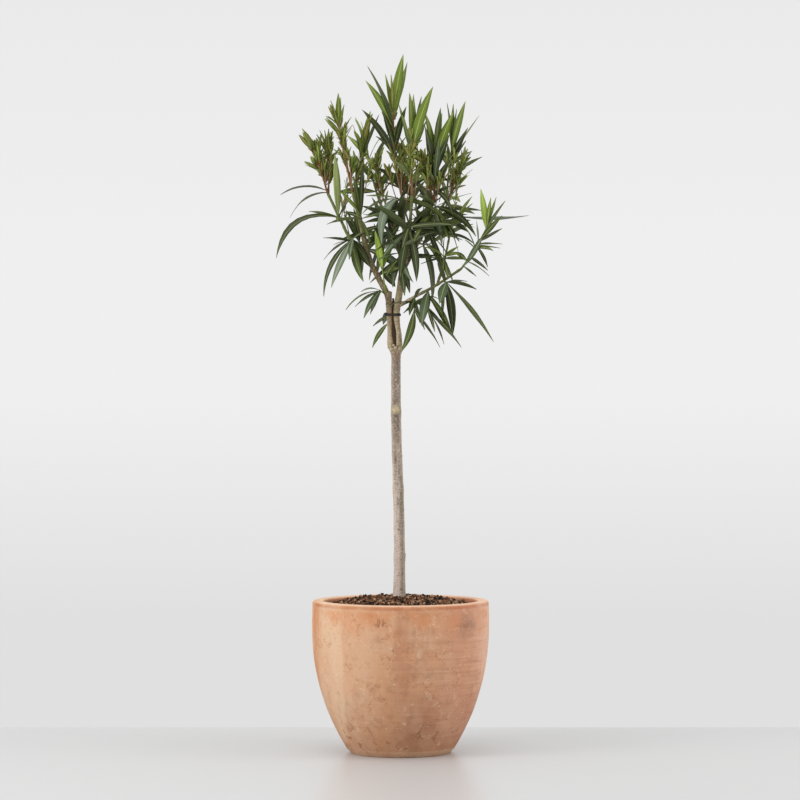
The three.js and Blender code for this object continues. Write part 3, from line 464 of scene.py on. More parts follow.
# Peat and composted bark: a dull, crumbly brown with paler wood fibres.
earth = {
    "bed": "#2d1f16",
    "tints": ["#21160f", "#482e20", "#774e35", "#ab866b"],
    "fibre": "#8f7055",
    "roughness": 0.95,
    "gloss": 0.2,
    "grain": 0.0014,
    "grainDepth": 0.0005,
}


def soilRadius():
    return potRadius(soil["edgeHeight"]) - pot["wall"] - soil["gap"]


def soilHeight(x, y):
    far = min(math.hypot(x, y), soilRadius())
    crown, edge = soil["crownRadius"], soilRadius()
    share = max(0, (far - crown) / (edge - crown))
    height = mix(soil["crownHeight"], soil["edgeHeight"], share**2.2)
    lump = noise.fractal((x / soil["lumpSize"], y / soil["lumpSize"], 0), 0.8, 2.1, 3)
    return height - soil["sink"] + soil["lumps"] * lump


# A place on the soil, evenly spread out to a share of its radius.
def soilSpot(by, edge):
    far = soilRadius() * math.sqrt(by[0]) * edge
    turn = 2 * math.pi * by[1]
    return far * math.cos(turn), far * math.sin(turn)


def addSoilBed(skin):
    corners = []
    for i in range(soil["rings"] + 1):
        r = soilRadius() * (1 - i / (soil["rings"] + 0.5))
        for k in range(soil["sides"]):
            a = 2 * math.pi * (k + 0.5 * (i % 2)) / soil["sides"]
            x, y = r * math.cos(a), r * math.sin(a)
            corners.append((x, y, soilHeight(x, y)))
    sides = soil["sides"]
    skirt = [(x, y, z - soil["skirt"]) for x, y, z in corners[:sides]]
    skin.add(skirt + corners, ringFaces(soil["rings"] + 2, sides), 0)


crumbFaces = [(0, 1, 2), (0, 2, 3), (0, 3, 4), (0, 4, 1), (5, 2, 1), (5, 3, 2), (5, 4, 3), (5, 1, 4)]
crumbCorners = [(0, 0, 1), (1, 0, 0), (0, 1, 0), (-1, 0, 0), (0, -1, 0), (0, 0, -1)]


def addCrumbs(skin):
    for n in range(soil["crumbs"]):
        by = [draw(seeds["crumbs"], n, m) for m in range(24)]
        x, y = soilSpot(by, soil["crumbEdge"])
        size = mix(*soil["crumbSize"], by[2] ** 3)
        middle = point(x, y, soilHeight(x, y) + size * mix(-0.2, 0.5, by[3]))
        axis = unit(point(by[4] - 0.5, by[5] - 0.5, by[6] - 0.4))
        corners = []
        for k, corner in enumerate(crumbCorners):
            wide, deep = mix(0.5, 1.0, by[8 + k]), mix(0.5, 1.0, by[14 + k])
            shape = point(*corner) * size * (wide, deep, soil["crumbFlat"])
            corners.append(middle + rotated(shape, axis, 360 * by[7]))
        skin.add(corners, crumbFaces, pick(range(1, 1 + len(earth["tints"])), by[20]))


def addFibres(skin):
    for n in range(soil["fibres"]):
        by = [draw(seeds["fibres"], n, m) for m in range(8)]
        x, y = soilSpot(by, soil["fibreEdge"])
        length = mix(*soil["fibreLength"], by[2] ** 2)
        around = 2 * math.pi * by[3]
        reach = point(math.cos(around), math.sin(around), mix(-0.05, 0.16, by[4])) * length
        start = point(x, y, soilHeight(x, y) + soil["fibreLift"])
        if math.hypot(x + reach[0], y + reach[1]) > soilRadius() - 2:
            continue
        knee = start + reach * 0.5 + point(0, 0, length * mix(0.0, 0.22, by[5]))
        tip = start + reach
        tip[2] = soilHeight(tip[0], tip[1]) + soil["fibreLift"]
        size = tapered(mix(*soil["fibreHalf"], by[6]), 1)
        addTube(skin, lambda t: alongBow(start, knee, tip, t), size, 4, 4, 1 + len(earth["tints"]))


def makeSoil():
    materials = []
    for n, colour in enumerate([earth["bed"], *earth["tints"], earth["fibre"]]):
        name = f"pottingSoilCrumbled{n}"
        material, tree, shader = newMaterial(name, colour, earth["roughness"], earth["gloss"])
        grain(tree, shader, earth["grain"], (1, 1, 1), earth["grainDepth"])
        materials.append(material)
    bed = Skin()
    addSoilBed(bed)
    bed.piece("soilBed", materials[:1], "potting_soil", ["soil"])
    loose = Skin()
    addCrumbs(loose)
    addFibres(loose)
    loose.piece("soilCrumbs", materials, "potting_soil", ["soil"], smooth=False)


makeSoil()
print("soil made")

# The trunk, from the soil to the knuckle under the fork.
trunk = {
    "foot": (-2, 0, 258),
    "top": (-7.5, 0, 687),
    "flareFrom": 263.9,
    "sway": 1.4,
    "footRadius": 9.7,
    "topRadius": 7.8,
    "flare": 1.6,
    "flareHeight": 16,
    "knuckle": (12.4, 9.2),
    "knuckleHeight": 9,
    "nodes": (0.16, 0.43, 0.74),
    "nodeSwell": 0.7,
    "nodeHeight": 9,
    "sides": 72,
    "rings": 300,
    "fissure": 0.28,
    "barkRadius": 9,  # of the pattern round the stem
    "scarRim": 1.6,
    "scarCup": 1.1,
}
# How far the bark's pattern runs in one millimetre, round the limb and along it. A wart rises
# where the pattern is over wartFrom.
bark = {
    "ribAround": 0.34,
    "ribAlong": 0.035,
    "wartAround": 0.5,
    "wartAlong": 0.42,
    "wartFrom": 0.28,
    "wartRise": 2.2,
}
# Old scars on the bark: height, angle round the stem in degrees (270 is the front), how far
# one stands out and its half width.
scars = [
    (582, 262, 0.9, 5.4),
    (505, 205, 1.3, 2.2),
    (503, 335, 1.2, 2.4),
    (411, 345, 0.8, 2.4),
    (377, 282, 0.7, 2.0),
    (335, 350, 1.1, 2.0),
    (303, 285, 0.7, 2.0),
    (455, 240, 0.7, 2.4),
    (640, 300, 0.7, 2.4),
    (560, 90, 0.9, 4.0),
    (470, 110, 1.0, 2.4),
    (350, 70, 0.9, 2.4),
    (612, 30, 0.8, 2.2),
]


def trunkPlace(t):
    p = mix(point(*trunk["foot"]), point(*trunk["top"]), t)
    p[0] += trunk["sway"] * math.sin(2 * math.pi * t)
    return p


def trunkSize(t):
    height = trunk["top"][2] - trunk["flareFrom"]
    up = mix(trunk["foot"][2], trunk["top"][2], t) - trunk["flareFrom"]
    r = mix(trunk["footRadius"], trunk["topRadius"], up / height)
    r += trunk["flare"] * math.exp(-max(up, 0) / trunk["flareHeight"])
    for share in trunk["nodes"]:
        r += trunk["nodeSwell"] * math.exp(-(((up - share * height) / trunk["nodeHeight"]) ** 2))
    swell = math.exp(-(((height - up) / trunk["knuckleHeight"]) ** 2))
    return mix(r, trunk["knuckle"][0], swell), mix(r, trunk["knuckle"][1], swell)


# Bark runs in shallow ribs along the limb, broken by small warts.
def barkRelief(a, along, depth, radius):
    x, y = math.cos(a) * radius, math.sin(a) * radius
    ribPlace = (x * bark["ribAround"], y * bark["ribAround"], along * bark["ribAlong"])
    wartPlace = (x * bark["wartAround"] + 9, y * bark["wartAround"], along * bark["wartAlong"])
    rib = noise.fractal(ribPlace, 0.7, 2.2, 4)
    wart = max(0, noise.noise(wartPlace) - bark["wartFrom"])
    return depth * (rib + bark["wartRise"] * wart)


def trunkRelief(a, t):
    z = mix(trunk["foot"][2], trunk["top"][2], t)
    radius = trunk["barkRadius"]
    out = barkRelief(a, z, trunk["fissure"], radius)
    for height, angle, rise, half in scars:
        aside = (a - math.radians(angle) + math.pi) % (2 * math.pi) - math.pi
        if abs(z - height) < 4 * half and abs(aside) < 1.5:
            spot = (aside * radius / half) ** 2 + ((z - height) / half) ** 2
            # a rim round a shallow cup
            out += rise * (trunk["scarRim"] * math.exp(-spot) - trunk["scarCup"] * math.exp(-3 * spot))
    return out


# Each bough is one tapering limb through its points; radius is at its foot and its tip. A waist
# is the share of the limb where it is thinner, by how much and how far that goes on.
boughs = [
    {"name": "bough_left", "radius": (5.6, 4.9), "waist": (0.25, 1.5, 0.13),
     "points": [
         (-16.5, 0, 686), (-18, 0, 710), (-19, 0, 743), (-21.5, 0, 774), (-35, 1, 801), (-50, 2, 830),
     ]},
    {"name": "bough_right", "radius": (6.1, 5.7), "waist": (0.3, 1.4, 0.16),
     "points": [(-2.5, 0, 686), (-3, 0, 710), (-6.8, 0, 743), (-1, -2, 785), (7, -4, 842)]},
    {"name": "bough_left_inner", "radius": (4.8, 3.4),
     "points": [(-48, 2, 825), (-58, -3, 856), (-68.5, -11, 903), (-80, -18, 950)]},
    {"name": "bough_left_outer", "radius": (3, 2.3),
     "points": [(-46, 4, 821), (-86, 8, 874), (-101, 4, 903), (-123, -4, 948)]},
    {"name": "bough_centre", "radius": (3.7, 2.8),
     "points": [(8, -4, 838), (6, -2, 893), (3, 0, 945)]},
    {"name": "bough_front", "radius": (3.2, 2.4),
     "points": [(9, -6, 838), (15, -20, 880), (19.5, -40, 945)]},
    {"name": "bough_right_upper", "radius": (2.9, 2.2),
     "points": [(8, -3, 832), (34, 4, 888), (58, -6, 938)]},
    {"name": "bough_rear_right", "radius": (2.9, 2.1),
     "points": [(4, -2, 815), (36, 34, 876), (79, 52, 941)]},
    {"name": "bough_rear_left", "radius": (2.9, 2.1),
     "points": [(5, -3, 822), (-12, 34, 884), (-34, 66, 935)]},
    {"name": "bough_side", "radius": (3, 2),
     "points": [(-4, 0, 757), (26, -14, 774), (60, -22, 792), (103, -28, 820)]},
    {"name": "bough_riser", "radius": (2.2, 1.6),
     "points": [(62, -21, 793), (74, -6, 832), (84, 14, 879)]},
]
boughBark = {
    "sides": 24,
    "step": 2.2,  # length between rings
    "fissure": 0.16,
    "scarStep": 31,
    "scarSwell": 0.5,
    "scarHalf": 2.6,
}


# A node's name as a piece's: bough_left gives boughLeft.
def pieceName(node):
    first, *rest = node.split("_")
    return first + "".join(word.capitalize() for word in rest)


def addBough(skin, bough, index):
    line = [alongPoints(bough["points"], i / 40) for i in range(41)]
    length = sum(np.linalg.norm(b - a) for a, b in zip(line, line[1:]))
    rings = round(length / boughBark["step"])

    def size(t):
        r = mix(*bough["radius"], t)
        # leaf scars circle the young wood at every joint
        aside = (t * length + 9 * index) % boughBark["scarStep"] - boughBark["scarStep"] / 2
        r += boughBark["scarSwell"] * math.exp(-((aside / boughBark["scarHalf"]) ** 2))
        if "waist" in bough:
            share, less, half = bough["waist"]
            r -= less * math.exp(-(((t - share) / half) ** 2))
        return r, r

    def relief(a, t):
        return barkRelief(a, t * length + 100 * index, boughBark["fissure"], bough["radius"][0])

    addTube(skin, lambda t: alongPoints(bough["points"], t), size, rings, boughBark["sides"], 0, relief)


# Oleander bark: smooth, thin and grey-brown with fine cracks, level rows of pores and silvery
# patches. It turns tan at the fork and is still green on the year's wood.
cracks = [
    {"colour": "#5c4f42", "share": 0.5, "size": 0.0032, "stretch": (1, 1, 0.12), "detail": 4.0,
     "between": (0.54, 0.7)},
    {"colour": "#6a5c4e", "share": 0.65, "size": 0.0028, "stretch": (0.8, 0.8, 1.5), "detail": 4.0,
     "between": (0.52, 0.64)},
    {"colour": "#d2c8b9", "share": 0.6, "size": 0.0028, "stretch": (0.9, 0.9, 1.2), "detail": 4.0,
     "between": (0.46, 0.34)},
    {"colour": "#3c3027", "share": 0.85, "size": 0.0042, "stretch": (0.7, 0.7, 1.2),
     "between": (0.66, 0.7)},
]
stemBark = "#a09381"
stemTones = [
    {"colour": "#c2b6a8", "share": 1, "size": 0.022, "stretch": (1, 1, 0.35), "detail": 4.0,
     "between": (0.42, 0.64)},
    {"colour": "#b79f92", "share": 0.6, "size": 0.03, "stretch": (1, 1, 0.2), "between": (0.42, 0.6)},
    {"colour": "#8a8169", "share": 0.5, "size": 0.014, "stretch": (1, 1, 0.15), "between": (0.5, 0.62),
     "windows": [(right, -0.002, 0.003)]},
    # painted shade: a dull olive band runs up the front between the sides that the softboxes light, and the
    # upper half is painted darker still
    {"colour": "#665c4a", "share": 0.75, "size": 0.012, "stretch": (1, 1, 0.2), "between": (0.34, 0.55),
     "windows": [(front, 0.0045, 0.008), (up, 0.3, 0.46)]},
    {"colour": "#665c4a", "share": 0.55, "size": 0.03, "between": (0.2, 0.45),
     "windows": [(front, 0.005, 0.0085), (up, 0.5, 0.6)]},
    # low down, pink where the outer bark has split on one side and olive on the other
    {"colour": "#d2bfb4", "share": 0.7, "size": 0.03, "stretch": (1, 1, 0.3), "between": (0.3, 0.5),
     "windows": [(left, 0.0005, 0.003), (down, -0.5, -0.44)]},
    {"colour": "#7d7461", "share": 0.7, "size": 0.02, "stretch": (1, 1, 0.12), "between": (0.36, 0.56),
     "windows": [(right, -0.0005, 0.001), (left, -0.0055, -0.004), (down, -0.5, -0.44)]},
]
upperTones = [
    {"colour": "#7c6d60", "share": 0.35, "size": 0.05, "between": (0.2, 0.5),
     "windows": [(up, 0.5, 0.64)]},
    {"colour": "#c9bea9", "share": 0.7, "size": 0.0034, "stretch": (1, 1, 0.7), "between": (0.64, 0.7),
     "windows": [(up, 0.34, 0.5)]},
    {"colour": "#a08c6c", "share": 0.8, "size": 0.05, "between": (0.2, 0.45),
     "windows": [(up, 0.664, 0.684)]},
    # brown under the knuckle
    {"colour": "#7d5f4e", "share": 0.7, "size": 0.02, "between": (0.2, 0.45),
     "near": (-0.0075, -0.0085, 0.669), "reach": 0.0125},
]
# Round spots on the stem, in metres: colour, share, middle and reach.
leafScarSpots = [
    ("#4c3d2e", 0.8, (-0.0025, -0.008, 0.378), 0.003),
    ("#4c3d2e", 0.7, (-0.0055, -0.008, 0.392), 0.0028),
    ("#3f3227", 0.9, (0.0034, -0.0085, 0.303), 0.0026),
    ("#4c3d2e", 0.8, (0.0008, -0.009, 0.277), 0.0026),
    ("#54463a", 0.7, (-0.008, -0.008, 0.497), 0.0035),
]
# An old cut that has healed to a pale round scar, with a dark mark under it.
healedSpots = [
    ("#c4b48c", 0.9, (-0.0085, -0.0085, 0.5818), 0.0105),
    ("#4c3d2e", 0.8, (-0.0085, -0.0085, 0.5715), 0.0032),
]


def spotLayers(spots, size):
    return [
        {"colour": colour, "share": share, "size": size, "between": (0.2, 0.4),
         "near": middle, "reach": reach}
        for colour, share, middle, reach in spots
    ]


youngBark = "#ae9d78"
youngLayers = [
    {"colour": "#a8826a", "share": 0.6, "size": 0.03, "stretch": (1, 1, 0.4), "between": (0.46, 0.62)},
    {"colour": "#5d4a36", "share": 0.6, "size": 0.012, "stretch": (1, 1, 0.5), "between": (0.52, 0.68)},
    {"colour": "#67603a", "share": 0.9, "size": 0.04, "between": (0.2, 0.45),
     "windows": [(up, 0.75, 0.81)]},
    # the left limb is brown above the tie
    {"colour": "#75623f", "share": 0.7, "size": 0.03, "between": (0.2, 0.45),
     "windows": [(left, 0.012, 0.016), (up, 0.745, 0.76)]},
    {"colour": "#b3a48c", "share": 0.45, "size": 0.018, "stretch": (1, 1, 0.4), "detail": 4.0,
     "between": (0.5, 0.66)},
]
# The year's wood at the ends of the limbs: colour, share and the window where it begins.
greenWood = [
    ("#66733a", 0.75, (up, 0.84, 0.93)),
    ("#5b6036", 0.7, (right, 0.015, 0.05)),
    ("#75854a", 0.85, (left, 0.075, 0.09)),
]
greenLayers = [
    {"colour": colour, "share": share, "size": 0.03, "between": (0.2, 0.45), "windows": [window]}
    for colour, share, window in greenWood
]


barkFinish = {"roughness": 0.72, "gloss": 0.3, "grain": 0.0016, "grainDepth": 0.0003}


def makeBark(name, base, layers):
    material, tree, shader = newMaterial(name, base, barkFinish["roughness"], barkFinish["gloss"])
    paint(tree, shader, base, layers)
    grain(tree, shader, barkFinish["grain"], (1, 1, 0.3), barkFinish["grainDepth"])
    return material


# What one pruning left: a cut end of the old limb, dark dead bark in the crotch that is also painted shade
# in the gap between the boughs, and lumps of callus round the fork.
pruned = {
    "stub": [(-19.3, 0, 752), (-19.6, 0.5, 768), (-19.2, 1, 782)],
    "stubRadius": (5.0, 4.7),
    "stubKnob": 4.5,
    "stubSink": 2.6,
    "crotch": [
        (-9.5, 1.2, 688), (-11.2, 0.8, 706), (-12.2, 0.4, 728), (-12.9, 0.8, 748), (-12.4, 1, 771),
    ],
    "crotchRadius": (5.4, 1.6),
    "callus": [
        (-15.5, -6.4, 684, 3.4), (-8.5, -8.2, 687, 3.0), (-1.5, -6.6, 685, 3.3), (-18.2, -2.5, 688, 2.8),
        (3.0, -2.0, 687, 2.6), (-11.8, -7.0, 691, 2.4), (-4.6, -6.8, 692, 2.3), (-7, 7.5, 687, 3.4),
        (-14, 6.2, 688, 3.0), (0.5, 5.8, 687, 2.8),
    ],
    "dead": "#3f2a17",
    "callusColour": "#b3a387",
}


def addPruned(skin, line, radius, finish, index):
    addTube(
        skin, lambda t: alongPoints(line, t), tapered(radius[0], radius[1] / radius[0]), 24, 18, finish,
        lambda a, t: barkRelief(a, 60 * t + 400 + 90 * index, 0.5, radius[0]),
    )


# A knob of callus: a squat ball with an uneven skin.
def addKnob(skin, knob, finish):
    x, y, z, r = knob

    def size(t):
        wide = r * math.sqrt(max(1 - (2 * t - 1) ** 2, 0.02))
        return wide, wide

    def relief(a, t):
        return 0.35 * noise.noise((x + 1.5 * math.cos(a), y + 1.5 * math.sin(a), z + 4 * t))

    addTube(skin, lambda t: point(x, y, z + r * 0.9 * (2 * t - 1)), size, 9, 12, finish, relief)


def makeLimbs():
    spots = spotLayers(leafScarSpots, 0.004), spotLayers(healedSpots, 0.02)
    stemLayers = [*stemTones, *spots[0], *upperTones, *spots[1], *cracks]
    oldBark = makeBark("barkGreySmooth", stemBark, stemLayers)
    limbBark = makeBark("barkYoungGreen", youngBark, [*youngLayers, *cracks, *greenLayers])
    # dark dead bark for the stub's cut end, and painted shade in the crotch between the boughs
    deadBarkAndShade = plainWood("barkDeadAndCrotchShade", pruned["dead"], 0.9)
    callus = plainWood("callusHealed", pruned["callusColour"], 0.8)
    skin = Skin()
    addTube(skin, trunkPlace, trunkSize, trunk["rings"], trunk["sides"], 0, trunkRelief)
    for knob in pruned["callus"]:
        addKnob(skin, knob, 1)
    skin.piece("trunkBark", [oldBark, callus], "bark", ["trunk"])
    for index, bough in enumerate(boughs):
        skin = Skin()
        addBough(skin, bough, index)
        if bough["name"] == "bough_left":
            addPruned(skin, pruned["stub"], pruned["stubRadius"], 0, 1)
            x, y, top = pruned["stub"][-1]
            addKnob(skin, (x, y, top - pruned["stubSink"], pruned["stubKnob"]), 1)
        if bough["name"] == "bough_right":
            # the crotch is dead bark and painted shade, dark where the boughs close in on it
            addPruned(skin, pruned["crotch"], pruned["crotchRadius"], 1, 2)
        slot = "bark" if index < 2 else "young_bark"
        skin.piece(pieceName(bough["name"]), [limbBark, deadBarkAndShade], slot, [bough["name"]])


makeLimbs()
print("trunk and boughs made")

# The dark band that ties the fork.
tie = {
    "height": 743,
    "centre": (-12.7, 0),
    "half": (12.8, 7.2),
    "turns": 3,
    "cord": 0.85,
    "pitch": 1.35,
    "start": 0.62,  # of a turn
    "squareness": 0.7,
    "samples": 72,
    "sides": 8,
    "knot": (-25.5, -4.5, 744, 3.0),
    "colour": "#2b2325",
}


def makeTie():
    material, tree, shader = newMaterial("rubberBandMoulded", tie["colour"], 0.5)
    grain(tree, shader, 0.0008, (1, 1, 1), 0.0001)

    def place(t):
        a = 2 * math.pi * (tie["turns"] * t + tie["start"])
        x, y = (math.copysign(abs(v) ** tie["squareness"], v) for v in (math.cos(a), math.sin(a)))
        lift = tie["pitch"] * (tie["turns"] * t - tie["turns"] / 2) + 0.5 * math.sin(a * 0.5)
        return point(
            tie["centre"][0] + tie["half"][0] * x,
            tie["centre"][1] + tie["half"][1] * y,
            tie["height"] + lift,
        )

    skin = Skin()
    rings = tie["samples"] * tie["turns"]
    sides = tie["sides"]
    corners = []
    for i in range(rings):
        t = i / (rings - 1)
        heading = unit(place(min(t + 0.002, 1)) - place(max(t - 0.002, 0)))
        out = unit(np.cross(heading, point(0, 0, 1)))
        up = np.cross(out, heading)
        for k in range(sides):
            a = 2 * math.pi * k / sides
            corners.append(place(t) + (out * math.cos(a) + up * math.sin(a)) * tie["cord"])
    skin.add(corners, ringFaces(rings, sides), 0)
    addKnob(skin, tie["knot"], 0)
    skin.piece("forkTie", [material], "tie_band", ["fork_tie"])


makeTie()
print("tie made")

